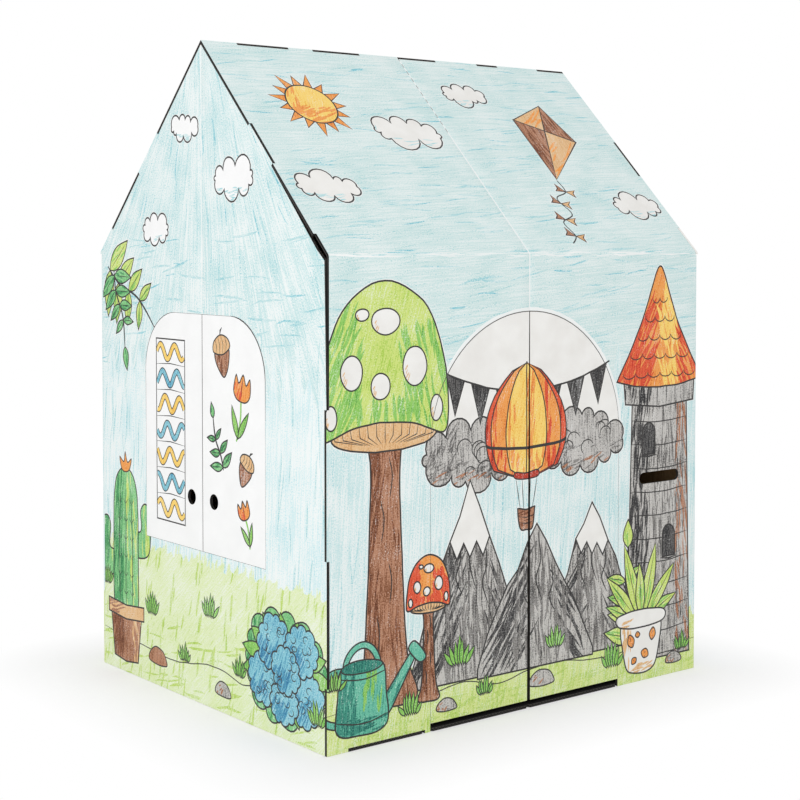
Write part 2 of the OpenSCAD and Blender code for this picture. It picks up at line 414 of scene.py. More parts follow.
def mushroom(pen, x, y, size, cap, deep, seed):
    here = pen.at(x, y, size)
    stalk = here.shape(smooth(points(
        (-58, 2), (-40, 70), (-31, 220), (-27, 350), (-32, 420), (32, 420), (28, 350), (33, 220), (43, 70),
        (62, 0), (0, -8))), "brown")
    here.shade(stalk, seed,
               ((-50, 10, -8, 400), "brown_deep", 62, 86, 90, 4.4),
               ((12, 10, 50, 400), "brown_deep", 30, 94, 70, 3.6))
    for rise, lean in ((70, -14), (150, 9), (245, -6), (310, 10)):
        here.line(smooth(points((lean, rise), (lean + 4, rise + 34), (lean - 2, rise + 62)), False), 2.0)
    gills = here.shape(ellipse(0, 404, 100, 24, 36), "tan")
    for index in range(-6, 7):
        foot = Vector((index * 7.0, 392))
        here.line([foot, Vector((index * 15.5, 404 - abs(index) * 0.4)), Vector((index * 16.5, 424))],
                  1.8, within=gills)
    hood = here.shape(smooth(points(
        (-114, 402), (-122, 440), (-108, 530), (-70, 602), (0, 636), (74, 604), (112, 530), (124, 440),
        (114, 402), (60, 418), (0, 424), (-60, 418))), cap)
    here.shade(hood, seed + 2,
               ((-124, 400, -50, 600), deep, 90, 66, 70, 5),
               ((30, 400, 124, 560), deep, 70, 104, 60, 5),
               ((-60, 404, 60, 450), deep, 46, 88, 44, 5))
    for sx, sy, rx, ry in ((-62, 500, 20, 26), (2, 575, 27, 20), (58, 506, 23, 30), (-8, 478, 18, 20),
                           (-100, 436, 11, 18), (100, 440, 12, 20), (-42, 586, 12, 9)):
        spot = here.shape(ellipse(sx, sy, rx, ry), "paper", within=hood, ink=2.4)
        here.shade(spot, seed + 5, ((sx - rx, sy - ry, sx - rx * 0.5, sy), "tan", 12, 66, ry * 0.6, 2.0))


def stone_tower(pen, x, y, seed):
    here = pen.at(x, y, 0.96)
    chance = random.Random(seed)
    wall = here.shape(points((-84, -6), (-72, 470), (72, 470), (84, -6)), "grey")
    here.shade(wall, seed,
               ((-84, 0, -30, 470), "dark", 150, 84, 60, 4.2),
               ((44, 0, 84, 470), "brown", 70, 95, 56, 4.2),
               ((-20, 0, 60, 470), "grey_deep", 90, 88, 46, 3.4))
    for row in range(11):
        level = 6 + 43 * row
        half = 82 - level * 0.024
        course = points((-half, level), (-half / 3, level - 5), (half / 3, level - 5), (half, level))
        here.line(smooth(course, False), 2.0, within=wall)
        for joint in range(4):
            across = -half + 2 * half * (joint + 0.5 * (row % 2) + chance.uniform(0.1, 0.3)) / 4
            upright = points((across, level - 4), (across + 1, level + 17), (across, level + 38))
            here.line(upright, 1.8, within=wall)
    for wx, wy in ((-28, 402), (26, 210)):
        sill = points((wx - 17, wy - 30), (wx + 17, wy - 30))
        here.shape(sill + ellipse(wx, wy + 8, 17, 20, 12, 0, 180), "dark")
        here.line(points((wx - 21, wy - 32), (wx, wy - 34), (wx + 21, wy - 32)), 3.6)
    parapet = here.shape(points((-90, 466), (-94, 512), (94, 512), (90, 466), (0, 458)), "grey")
    here.shade(parapet, seed + 3, ((-94, 460, -20, 512), "dark", 36, 84, 30, 4))
    for index in range(-3, 4):
        across = index * 24 - 6
        here.line(points((across, 462), (across, 486), (across, 510)), 2.0, within=parapet)
    eave = smooth(points((-112, 508), (-60, 498), (0, 494), (60, 498), (112, 508)), False)
    spire = smooth(points(
        (112, 508), (52, 606), (16, 690), (0, 716), (-16, 690), (-52, 606), (-112, 508)), False)
    cone = here.shape(eave + spire[1:-1], "orange")
    here.shade(cone, seed + 4,
               ((-112, 500, -14, 690), "red", 130, 58, 80, 5.4),
               ((0, 496, 46, 660), "yellow", 44, 104, 70, 5),
               ((54, 500, 104, 600), "red", 44, 118, 60, 5))
    for row in range(5):
        level = 522 + 34 * row
        half = 96 - 19 * row
        lobes = max(6 - row, 2)
        for lobe in range(lobes):
            left = -half + 2 * half * lobe / lobes
            here.line(ellipse(left + half / lobes, level, half / lobes, 10, 6, 180, 180), 2.0, within=cone)


def mountain(pen, x, y, width, height, seed, snow=True):
    chance = random.Random(seed)
    half = width / 2
    here = pen.at(x, y)
    ridge = []
    for step in range(-6, 7):
        t = step / 6
        jag = chance.uniform(-0.035, 0.035) * height if abs(step) < 6 else 0
        ridge.append(Vector((half * t, height * (1 - abs(t)) ** 0.86 + jag)))
    rock = here.shape(ridge + points((half, -14), (-half, -14)), "grey")
    for side in (-1, 1):
        slope = math.degrees(math.atan2(height, half)) * 0.9
        low, high = (-half, -half * 0.2) if side < 0 else (half * 0.4, half)
        here.shade(rock, seed + side,
                   ((low, 0, high, height * 0.96), "dark", int(width * 0.3),
                    slope if side < 0 else 180 - slope, height * 0.42, 5.0))
    here.shade(rock, seed + 5,
               ((-half * 0.4, 0, half * 0.6, height * 0.85), "grey_deep", int(width * 0.4),
                92, height * 0.3, 4.4))
    for start, reach in ((0.02, 0.5), (-0.2, 0.34), (0.24, 0.36)):
        foot = Vector((half * start, height * (1 - abs(start) * 1.05) - 12))
        drop = height * reach
        gully = [foot + step for step in points((0, 0), (6, -drop * 0.4), (-4, -drop * 0.7), (9, -drop))]
        here.line(smooth(gully, False), 2.6, within=rock)
    if snow:
        drift = [point for point in ridge if point.y > height * 0.66]
        left, right = drift[0], drift[-1]
        teeth = 6
        for tooth in range(1, teeth):
            t = tooth / teeth
            dip = 0.10 if tooth % 2 else 0.02
            drift.append(right.lerp(left, t) - Vector((0, height * dip)))
        here.shape(drift, "paper")


BALLOON_PAINTS = ("red", "orange", "yellow", "yellow", "orange", "red")


def balloon(pen, x, y, size, seed):
    """A striped balloon over its basket, from the middle of the basket's foot."""
    here = pen.at(x, y, size)
    for side in (-1, 1):
        for foot, top in ((13, 25), (6, 10)):
            here.line(points((side * foot, 30), (side * (foot + top) / 2, 58), (side * top, 88)), 1.8)
    basket = here.shape(smooth(points(
        (-17, 34), (-19, 30), (-14, 0), (0, -3), (14, 0), (19, 30), (17, 34), (0, 31))), "brown")
    here.shade(basket, seed, ((-18, 0, 18, 30), "brown_deep", 16, 12, 16, 2.6))
    for level in (10, 20):
        here.line(points((-17, level), (0, level - 3), (17, level)), 1.8, within=basket)

    def profile(t):
        """Half width of the bag at a share of its height."""
        return 92 * math.sin(math.pi * min(0.18 + 0.82 * t, 1.0)) ** 0.62 if t > 0 else 26

    def seam(lon):
        shares = [step / 14 for step in range(15)]
        return [Vector((profile(t) * math.sin(lon), 88 + 190 * t)) for t in shares]

    gores = len(BALLOON_PAINTS)
    for index, paint in enumerate(BALLOON_PAINTS):
        left = seam(math.pi * (index / gores - 0.5))
        right = seam(math.pi * ((index + 1) / gores - 0.5))
        gore = here.shape(left + right[::-1][1:], paint, ink=2.4)
        deep = {"yellow": "orange", "orange": "red", "red": "red_deep"}[paint]
        middle = (left[7].x + right[7].x) / 2
        here.shade(gore, seed + index, ((middle - 30, 96, middle - 4, 270), deep, 24, 86, 60, 4))
        here.shade(gore, seed + index, ((middle - 30, 92, middle + 30, 130), deep, 16, 86, 30, 4))
    band = [Vector((profile(0.3) * math.sin(lon), 145 - 10 * math.cos(lon)))
            for lon in (math.pi * (step / 12 - 0.5) for step in range(13))]
    here.line(band, 5.0, "ink", taper=1.0)
    collar = smooth(points((-27, 86), (-25, 96), (0, 92), (25, 96), (27, 86), (0, 82)))
    here.shape(collar, "red_deep", ink=2.2)


def bunting(pen, left, right, sag, flags):
    """A string of dark pennants between two points."""
    def hang(t):
        return left.lerp(right, t) - Vector((0, sag * 4 * t * (1 - t)))

    for index in range(flags):
        a = hang((index + 0.14) / flags)
        b = hang((index + 0.86) / flags)
        tip = (a + b) / 2 + Vector((0, -62))
        flag = pen.shape([a, a.lerp(b, 0.5) + Vector((0, -2)), b, tip], "dark")
        pen.shade(flag, index + 3, ((a.x, tip.y, b.x, a.y), "ink", 12, 82, 34, 3))
    pen.line([hang(step / 24) for step in range(25)], 3.0, taper=1.0)


def pot_plant(pen, x, y, size, seed):
    here = pen.at(x, y, size)
    for turn, reach, width in ((158, 74, 22), (24, 78, 22), (132, 108, 26), (50, 112, 26), (106, 138, 28),
                               (76, 132, 28), (92, 96, 24)):
        heading = Vector((math.cos(math.radians(turn)), math.sin(math.radians(turn))))
        root = Vector((heading.x * 22, 98))
        blade = here.shape(leaf_outline(root, root + heading * reach, width), "lime", ink=2.4)
        here.shade(blade, seed + turn,
                   ((root.x - 30 + heading.x * 30, 98, root.x + 20 + heading.x * 30, 98 + reach * 0.7),
                    "leaf", 12, turn, 36, 3.2))
        vein = [root + heading * 14, *(root + heading * reach * share for share in (0.5, 0.86))]
        here.line(vein, 1.6, within=blade)
    pot = here.shape(smooth(points(
        (-50, 86), (-46, 40), (-33, 4), (0, -4), (33, 4), (46, 40), (50, 86), (0, 80))), "paper")
    here.shade(pot, seed + 1,
               ((-50, 0, -26, 84), "tan", 16, 84, 40, 3.6),
               ((-20, -2, 36, 12), "tan", 10, 8, 34, 3.6))
    for sx, sy, rx, ry, turn in ((-26, 56, 9, 12, 20), (10, 30, 10, 8, -30), (30, 62, 8, 11, -14),
                                 (-8, 66, 6, 5, 0), (-18, 20, 7, 6, 40)):
        spot = here.at(sx, sy, 1, turn)
        outline = points((-rx, 0), (-rx * 0.3, ry), (rx * 0.5, ry * 0.8), (rx, -ry * 0.1), (rx * 0.2, -ry),
                         (-rx * 0.6, -ry * 0.7))
        dot = spot.shape(smooth(outline, steps=4), "orange", pot, ink=2.2)
        spot.shade(dot, seed + 3, ((-rx, -ry, rx, ry), "brown", 4, 70, ry, 2.4))
    rim = here.shape(smooth(points((-56, 84), (-58, 104), (0, 110), (58, 104), (56, 84), (0, 78))), "paper")
    here.shade(rim, seed + 4, ((-56, 80, -20, 104), "tan", 8, 10, 26, 3))


def watering_can(pen, x, y, size, seed):
    here = pen.at(x, y, size)
    hoop = ellipse(-48, 62, 46, 44, 22, 62, 226)
    here.line(hoop, 13.5, taper=1.0)
    here.line(hoop, 8.5, "teal", taper=1.0)
    arch = ellipse(0, 104, 34, 40, 16, 10, 160)
    here.line(arch, 12.5, taper=1.0)
    here.line(arch, 7.5, "teal", taper=1.0)
    spout = here.shape(points((38, 20), (44, 48), (104, 118), (114, 108), (62, 28), (46, 8)), "teal")
    here.shade(spout, seed, ((40, 10, 104, 84), "teal_deep", 14, 52, 50, 4))
    here.shape(smooth(points((98, 124), (112, 134), (136, 106), (124, 96), (108, 108)), steps=4), "teal")
    body = here.shape(smooth(points(
        (-52, 4), (-50, 60), (-44, 108), (0, 114), (44, 108), (50, 60), (52, 4), (0, -6))), "teal")
    here.shade(body, seed + 1,
               ((-52, 0, -14, 104), "teal_deep", 40, 86, 56, 4.4),
               ((-40, -2, 52, 22), "teal_deep", 22, 6, 44, 4),
               ((4, 40, 40, 100), "leaf", 18, 86, 44, 3.6))
    for level in (18, 92):
        here.line(smooth(points((-54, level + 4), (0, level - 5), (54, level + 4)), False), 2.2, within=body)
    here.shape(ellipse(0, 108, 43, 11), "teal_deep", ink=2.4)


def kite(pen, x, y, size, turn, seed):
    here = pen.at(x, y, size, turn)
    top, left, right, foot = points((0, 110), (-72, 26), (72, 26), (0, -130))
    middle = Vector((0, 26))
    panels = (([middle, top, left], "tan", 60), ([middle, right, top], "brown", 120),
              ([middle, left, foot], "brown", 118), ([middle, foot, right], "tan", 62))
    for index, (outline, paint, slant) in enumerate(panels):
        panel = here.shape(outline, paint)
        deep = "brown_deep" if paint == "brown" else "orange"
        low, high = extent(outline)
        here.shade(panel, seed + index,
                   ((*low, *high), deep, 34 if paint == "brown" else 12, slant, 54, 4))
    tail = smooth(points(
        (0, -132), (14, -160), (-10, -192), (16, -226), (-8, -262), (12, -292), (2, -316)), False)
    here.line(tail, 2.4, taper=1.0)
    for index in (6, 14, 22, 30):
        knot = tail[index]
        for side, paint in ((-1, "brown"), (1, "tan")):
            wing = Vector((side * 22, 4))
            flare = Vector((0, 11))
            here.shape([knot, knot + wing + flare, knot + wing * 0.8, knot + wing - flare], paint, ink=2.2)


def leaf_spray(pen, x, y, size, turn, pairs, paint, deep, seed):
    """A bending stem with pairs of leaves, from its foot."""
    here = pen.at(x, y, size, turn)
    stem = smooth(points((0, 0), (8, 60), (-4, 130), (14, 210)), False, steps=8)
    here.line(stem, 4.0, taper=0.6)
    for pair in range(pairs):
        root = stem[2 + pair * (len(stem) - 4) // pairs]
        reach = 84 - 44 * pair / pairs
        for side in (-1, 1):
            tip = root + Vector((side * reach, reach * 0.42))
            blade = here.shape(leaf_outline(root, tip, reach * 0.46), paint, ink=2.4)
            here.shade(blade, seed + pair,
                       ((min(root.x, tip.x), root.y - 8, max(root.x, tip.x), tip.y), deep, 12,
                        26 if side > 0 else 154, reach * 0.5, 3.6))
            here.line([root.lerp(tip, 0.1), root.lerp(tip, 0.5), root.lerp(tip, 0.9)], 1.6, within=blade)
    tip = stem[-1] + Vector((10, 62))
    blade = here.shape(leaf_outline(stem[-1], tip, 30), paint, ink=2.4)
    here.shade(blade, seed, ((stem[-1].x - 14, stem[-1].y, stem[-1].x + 6, tip.y), deep, 10, 84, 30, 3.4))


def flower_bush(pen, x, y, size, seed):
    """A round bush of blue flower heads over green leaves."""
    chance = random.Random(seed)
    here = pen.at(x, y, size)
    green = here.shape(scalloped(ring_of(0, 86, 112, 80, 15, chance), 0.36), "green")
    here.shade(green, seed, ((-120, 0, 120, 150), "green_deep", 170, 82, 50, 5))
    for turn in range(0, 360, 24):
        heading = Vector((math.cos(math.radians(turn)), math.sin(math.radians(turn)) * 0.72))
        root = Vector((0, 86)) + heading * 66
        here.shape(leaf_outline(root, root + heading * chance.uniform(52, 70), 30), "leaf", ink=2.4)
    for hx, hy, r in ((-62, 56, 44), (58, 48, 46), (-4, 30, 36), (-32, 122, 46), (44, 122, 44), (2, 84, 38)):
        head = here.shape(scalloped(ring_of(hx, hy, r, r * 0.92, 11, chance), 0.34), "blue")
        here.shade(head, seed + int(r), ((hx - r, hy - r, hx + r * 0.2, hy), "blue_deep", 30, 60, 34, 4))
        for _ in range(7):
            fx = hx + chance.uniform(-0.62, 0.62) * r
            fy = hy + chance.uniform(-0.62, 0.62) * r
            here.line(ellipse(fx, fy, 7, 6, 8, chance.uniform(0, 300), 250), 1.7, within=head)


def potted_cactus(pen, x, y, size, seed):
    here = pen.at(x, y, size)
    columns = (
        ((-24, 150), (-84, 156), (-96, 190), (-92, 244), (-74, 258), (-58, 242), (-60, 200), (-24, 192)),
        ((24, 196), (78, 200), (92, 232), (90, 282), (72, 296), (56, 282), (56, 244), (24, 238)),
        ((-42, 84), (-46, 200), (-40, 320), (0, 356), (40, 320), (46, 200), (42, 84), (0, 76)),
    )
    for index, corners in enumerate(columns):
        outline = smooth(points(*corners))
        column = here.shape(outline, "green")
        low, high = extent(outline)
        width = high.x - low.x
        here.shade(column, seed + index,
                   ((low.x, low.y, low.x + width * 0.4, high.y), "green_deep", 60 if index == 2 else 18,
                    88, 70, 4.6))
        here.shade(column, seed + index + 5,
                   ((high.x - width * 0.45, low.y, high.x, high.y), "lime", 26 if index == 2 else 10,
                    90, 60, 4.2))
    for across in (-22, 0, 22):
        here.line(smooth(points((across, 96), (across * 1.12, 200), (across * 0.9, 316)), False), 2.0)
        for rise in range(118, 310, 34):
            for side in (-1, 1):
                spine = points((across, rise), (across + side * 4, rise + 4), (across + side * 8, rise + 9))
                here.line(spine, 1.6)
    bloom = points((-12, 350), (-22, 374), (-6, 366), (0, 384), (8, 366), (22, 374), (12, 350))
    here.shape(smooth(bloom, steps=4), "orange", ink=2.2)
    pot = here.shape(points((-58, 84), (-44, -2), (0, -8), (44, -2), (58, 84)), "brown")
    here.shade(pot, seed + 9,
               ((-58, 0, -12, 80), "brown_deep", 46, 78, 44, 4.6),
               ((22, 0, 56, 80), "tan", 14, 98, 40, 4))
    band = here.shape(points((-66, 78), (-66, 104), (0, 98), (66, 104), (66, 78), (0, 72)), "tan")
    here.shade(band, seed + 11, ((-66, 74, -10, 104), "brown", 16, 10, 40, 3.6))


def tuft(pen, x, y, size, seed):
    """A few blades of grass."""
    chance = random.Random(seed)
    here = pen.at(x, y, size)
    for index in range(-3, 4):
        tip = Vector((index * 7 + chance.uniform(-3, 3), 34 - abs(index) * 6 + chance.uniform(-3, 5)))
        here.shape(leaf_outline(Vector((index * 3, 0)), tip, 6.5, 5), "leaf", ink=1.8)


def pebble(pen, x, y, width, paint="grey"):
    here = pen.at(x, y, width / 100)
    outline = smooth(points((-50, 0), (-44, 26), (-12, 44), (28, 36), (50, 8), (44, -4), (0, -8)))
    stone = here.shape(outline, paint, ink=2.2)
    here.shade(stone, int(width), ((-50, 0, 0, 30), "brown", 6, 40, 24, 3))


def acorn(pen, x, y, size, turn):
    here = pen.at(x, y, size, turn)
    nut = here.shape(smooth(points((-24, 4), (-22, -26), (0, -52), (22, -26), (24, 4))), "brown", ink=2.4)
    here.shade(nut, 3, ((-24, -46, -2, 2), "brown_deep", 12, 80, 34, 3.4))
    cup = here.shape(smooth(points((-30, 2), (-26, 22), (0, 32), (26, 22), (30, 2), (0, -6))), "tan", ink=2.4)
    for shift in (-16, -4, 8, 20):
        here.line(points((shift - 6, -4), (shift, 12), (shift - 4, 30)), 1.6, within=cup)
    here.line(points((0, 31), (3, 40), (10, 46)), 4.0)


def tulip(pen, x, y, size, turn):
    here = pen.at(x, y, size, turn)
    here.line(smooth(points((0, 0), (4, -36), (-3, -84)), False), 4.2, "leaf", taper=0.8)
    for side in (-1, 1):
        here.shape(leaf_outline(Vector((0, -78)), Vector((side * 30, -20)), 16), "leaf", ink=2.2)
    cup = points((-24, 40), (-28, 10), (-14, -6), (14, -6), (28, 10), (24, 40), (12, 26), (0, 44), (-12, 26))
    bloom = here.shape(smooth(cup, steps=4), "orange", ink=2.4)
    here.shade(bloom, 4, ((-26, -4, 0, 30), "red", 12, 84, 26, 3.2))
    here.line(points((0, 42), (-1, 22), (0, 0)), 1.6, within=bloom)


def ribbon_frame(pen, x0, y0, x1, y1):
    """A thin frame with wavy ribbons of two colours across it."""
    panel = pen.shape(box(x0, y0, x1, y1), "white", ink=2.4)
    waves = 7
    for index in range(waves):
        level = y0 + (y1 - y0) * (index + 0.5) / waves
        paint = "blue" if index % 2 else "yellow"
        span = x1 - x0
        path = [Vector((x0 + span * step / 40, level + 12 * math.sin(step / 40 * math.tau * 2 + index)))
                for step in range(1, 40)]
        pen.line(path, 12.0, within=panel, taper=0.8)
        pen.line(path, 8.0, paint, within=panel, taper=0.8)
    for index in range(1, waves):
        level = y0 + (y1 - y0) * index / waves
        pen.line(points((x0, level), ((x0 + x1) / 2, level + 3), (x1, level)), 1.8, within=panel)


RIM = 6.0
LONG_PAINTS = ("sky", "sky_low", "grass")
GABLE_PAINTS = ("haze", "haze_low", "turf")


def long_heading(spot):
    """Slant of the sky's strokes on a long side: along the roof, and upright down the wall."""
    return 4.0 if spot.y > WALL_H * 0.7 else 86.0


def gable_heading(spot):
    """Slant of the sky's strokes on a gable: fanning from the apex, level by the eaves and upright below."""
    if spot.y > WALL_H + 50:
        return math.degrees(math.atan2(RIDGE_H + FAN_RISE - spot.y, -spot.x))
    return 5.0 if spot.y > WALL_H * 0.8 else 87.0


def sky_and_grass(pen, half, top, grass, seed, heading, paints):
    """Sky down to a ragged line of grass, over a sheet of this half width and height."""
    chance = random.Random(seed)
    high, low, turf = paints
    pen.fill(box(-half - RIM, -RIM, half + RIM, top + RIM), high)
    fringe = []
    span = 2 * (half + RIM)
    teeth = 44
    for tooth in range(teeth + 1):
        lift = chance.uniform(10, 70) if tooth % 2 else chance.uniform(-60, 0)
        fringe.append(Vector((-half - RIM + span * tooth / teeth, WALL_H * 0.72 + lift)))
    pen.fill(points((-half - RIM, -RIM), (half + RIM, -RIM)) + fringe[::-1], low)
    pen.shade(None, seed + 2,
              ((-half, grass, half, top), "sky_mark", int(half * 0.6), heading, 90, 3.6),
              ((-half, WALL_H * 0.7, half, top), "sky_deep", int(half * 0.16), heading, 60, 2.6))
    blades = 90
    crest = [Vector((-half - RIM + span * step / blades, grass + chance.uniform(-7, 7)))
             for step in range(blades + 1)]
    hill = pen.fill(points((half + RIM, -RIM), (-half - RIM, -RIM)) + crest, turf)
    pen.shade(None, seed + 4, ((-half, grass - 12, half, grass + 4), turf, int(half * 0.3), 80, 34, 5))
    pen.shade(hill, seed,
              ((-half, 0, half, grass), "grass_mark", int(half * 0.4), 78, 44, 5),
              ((-half, 0, half, grass * 0.5), "grass_mark", int(half * 0.2), 8, 56, 4))
    path = [Vector((-half - RIM + span * step / 12, 62 + chance.uniform(-10, 10))) for step in range(13)]
    pen.line(smooth(path, False), 1.8)


def crease(pen, foot, top, marked):
    """An upright fold line: pale scratched paper, with fine cuts painted dark, as the shade in their slits,
    over this share of it from the top.
    """
    cut, pitch = 10.0, 19.0
    pen.exact(box(-CREASE_W / 2, foot, CREASE_W / 2, top), "halo")
    for index in range(int((top - foot) * marked / pitch)):
        level = top - index * pitch
        pen.exact(box(-0.6, level - cut, 0.6, level), "cut")


def scuffs(pen, seed):
    """Pale wear along the eave bend."""
    chance = random.Random(seed)
    middle = (BEND_START + BEND_END) / 2
    for _ in range(46):
        x = chance.uniform(-HALF_L, HALF_L)
        reach = chance.uniform(8, 34)
        level = middle + chance.uniform(-3, 3)
        pen.line(points((x - reach, level), (x, level + chance.uniform(-1, 1)), (x + reach, level)),
                 chance.uniform(1.2, 3.2), "halo")


def front_drawing(pen):
    sky_and_grass(pen, HALF_L, SHEET_TOP, 100, 3, long_heading, LONG_PAINTS)
    # Roof
    sun(pen, -262, 1098, 0.95)
    cloud(pen, -92, 1040, 150, 11)
    cloud(pen, -330, 900, 128, 12)
    cloud(pen, 96, 1150, 116, 13)
    cloud(pen, 340, 868, 120, 14)
    kite(pen, 232, 1040, 0.92, -24, 15)
    # Doors
    arch = ellipse(0, DOOR_H - DOOR_R, DOOR_R, DOOR_R, 40, 0, 180)
    pen.fill([Vector((DOOR_R, 420)), *arch, Vector((-DOOR_R, 420))], "paper")
    shoulder = ellipse(0, DOOR_H - DOOR_R, DOOR_R + 3, DOOR_R + 3, 40, 0, 180)
    pen.line(shoulder, 7.0, "halo", taper=1.0)
    storm_cloud(pen, -124, 430, 176, 74, 24)
    storm_cloud(pen, 122, 434, 170, 78, 25)
    mountain(pen, -128, 84, 250, 300, 21)
    mountain(pen, 146, 84, 230, 250, 22)
    mountain(pen, 18, 80, 260, 226, 23, snow=False)
    bunting(pen, Vector((-186, 566)), Vector((186, 566)), 40, 7)
    balloon(pen, -6, 300, 0.98, 31)
    # Wall left of the door
    mushroom(pen, -300, 62, 1.02, "lime", "leaf", 41)
    mushroom(pen, -214, 52, 0.36, "orange", "red", 51)
    watering_can(pen, -344, 26, 0.92, 61)
    # Wall right of the door
    stone_tower(pen, 312, 40, 71)
    leaf_spray(pen, 246, 70, 0.8, 8, 4, "lime", "leaf", 81)
    pot_plant(pen, 268, 18, 0.98, 91)
    tufts = ((-396, 96), (-250, 34), (-150, 96), (-96, 40), (60, 92), (196, 36), (372, 40))
    for index, (x, y) in enumerate(tufts):
        tuft(pen, x, y, 1.0 + 0.2 * (index % 3), 100 + index)
    pebble(pen, -176, 30, 40)
    pebble(pen, 30, 36, 54)
    pebble(pen, 352, 22, 40)
    scuffs(pen, 26)
    # Painted shade: a dark line along the cut round the doors, for the shade in its gap.
    pen.exact(ribbon(arch, 1.6), "cut")
    crease(pen, DOOR_H, SHEET_TOP, 0.36)


def back_drawing(pen):
    sky_and_grass(pen, HALF_L, SHEET_TOP, 130, 7, long_heading, LONG_PAINTS)
    sun(pen, 250, 1060, 0.9)
    cloud(pen, 40, 1110, 150, 111)
    cloud(pen, -250, 1000, 170, 112)
    cloud(pen, -60, 880, 120, 113)
    cloud(pen, -290, 640, 130, 114)
    mountain(pen, -230, 110, 300, 330, 121)
    mountain(pen, -60, 112, 280, 240, 122, snow=False)
    balloon(pen, 60, 400, 1.0, 123)
    mushroom(pen, 296, 70, 0.86, "lime", "leaf", 124)
    mushroom(pen, 190, 60, 0.4, "orange", "red", 125)
    flower_bush(pen, -300, 20, 0.9, 126)
    pot_plant(pen, 20, 26, 1.0, 127)
    for index, x in enumerate((-380, -180, -90, 110, 250, 380)):
        tuft(pen, x, 40 + 30 * (index % 2), 1.1, 130 + index)
    scuffs(pen, 137)
    crease(pen, 0, SHEET_TOP, 0.2)


def window_panel(pen):
    """White shutters, with painted shade in the cut round their upper corners: a dark line on the right and a
    fainter one on the left.
    """
    half = WINDOW_W / 2
    shoulder = WINDOW_Z + WINDOW_H - WINDOW_R
    right = ellipse(half - WINDOW_R, shoulder, WINDOW_R, WINDOW_R, 12, 0, 90)
    left = ellipse(WINDOW_R - half, shoulder, WINDOW_R, WINDOW_R, 12, 90, 90)
    pen.exact(points((-half, WINDOW_Z), (half, WINDOW_Z)) + right + left, "white")
    # Painted shade along the shutters' cut: a dark line on the right, and a fainter one on the left.
    pen.exact(ribbon(points((half, shoulder - 60)) + right, 2.4), "ink")
    pen.exact(ribbon(left + points((-half, shoulder - 90)), 1.4), "cut")


def gable_drawing(pen):
    sky_and_grass(pen, HALF_W, RIDGE_H, 236, 5, gable_heading, GABLE_PAINTS)
    # Painted light: the gable's clouds take the whiter paper, lighter than the roof's clouds, for the gable's
    # brighter light.
    cloud(pen, 96, 872, 120, 211, "white")
    cloud(pen, -56, 960, 92, 212, "white")
    cloud(pen, -150, 792, 104, 213, "white")
    leaf_spray(pen, -322, 724, 0.92, -118, 4, "lime", "leaf", 221)
    leaf_spray(pen, -300, 716, 0.66, -160, 4, "green", "green_deep", 222)
    flower_bush(pen, 240, 28, 0.94, 223)
    potted_cactus(pen, -262, 26, 0.96, 224)
    pebble(pen, -150, 40, 60, "brown")
    pebble(pen, 60, 30, 46)
    for index, (x, y) in enumerate(((-330, 150), (-170, 120), (-60, 60), (20, 150), (110, 70), (326, 40))):
        tuft(pen, x, y, 1.0 + 0.25 * (index % 2), 230 + index)
    window_panel(pen)
    ribbon_frame(pen, -150, 292, -56, 604)
    acorn(pen, 60, 592, 0.82, 12)
    tulip(pen, 118, 520, 0.86, -10)
    leaf_spray(pen, 64, 398, 0.42, 24, 3, "green", "green_deep", 241)
    acorn(pen, 132, 410, 0.66, -24)
    tulip(pen, 128, 330, 0.6, 18)
    crease(pen, 0, RIDGE_H, 0.0)


def far_gable_drawing(pen):
    sky_and_grass(pen, HALF_W, RIDGE_H, 210, 9, gable_heading, GABLE_PAINTS)
    # Painted light: the gable's clouds take the whiter paper, lighter than the roof's clouds, for the gable's
    # brighter light.
    cloud(pen, -70, 900, 130, 311, "white")
    cloud(pen, 110, 800, 100, 312, "white")
    leaf_spray(pen, 318, 720, 0.9, 122, 4, "lime", "leaf", 321)
    flower_bush(pen, -236, 26, 0.92, 322)
    mushroom(pen, 262, 40, 0.5, "orange", "red", 323)
    mushroom(pen, 186, 30, 0.3, "lime", "leaf", 324)
    pot_plant(pen, -40, 24, 0.9, 325)
    for index, x in enumerate((-320, -110, 70, 130, 330)):
        tuft(pen, x, 60 + 40 * (index % 2), 1.1, 330 + index)
    window_panel(pen)
    tulip(pen, -110, 560, 0.9, 8)
    acorn(pen, -100, 410, 0.8, -14)
    ribbon_frame(pen, 56, 292, 150, 604)
    crease(pen, 0, RIDGE_H, 0.0)


def blank_print(draw_gable, draw_wall):
    """The print of one flat blank: its gable, then the wall and roof beside it."""
    pen = Pen()
    draw_gable(pen.at(GABLE_U, 0))
    draw_wall(pen)
    return pen.drawing


def painted_floor_shade():
    pen = Pen()
    # Painted shade: the whole floor is painted very dark, standing for the dark seen through the gap under
    # the doors.
    pen.exact(box(-HALF_L, -HALF_W, HALF_L, HALF_W), "black")
    return pen.drawing


# Materials

def linear(colour):
    """An sRGB colour of 0 to 255 as Blender's linear colour."""
    parts = [part / 255 for part in colour]
    return [part / 12.92 if part < 0.04045 else ((part + 0.055) / 1.055) ** 2.4 for part in parts] + [1.0]


def node(tree, kind, inputs=None, **settings):
    """Adds a node: an input that is a socket is linked, and any other is set."""
    made = tree.nodes.new("ShaderNode" + kind)
    for key, value in settings.items():
        setattr(made, key, value)
    for key, value in (inputs or {}).items():
        if isinstance(value, bpy.types.NodeSocket):
            tree.links.new(value, made.inputs[key])
        else:
            made.inputs[key].default_value = value
    return made


def new_material(name, roughness):
    made = bpy.data.materials.new(name)
    made.use_nodes = True
    tree = made.node_tree
    shader = tree.nodes["Principled BSDF"]
    shader.inputs["Roughness"].default_value = roughness
    shader.inputs["Specular IOR Level"].default_value = 0.25
    return made, tree, shader


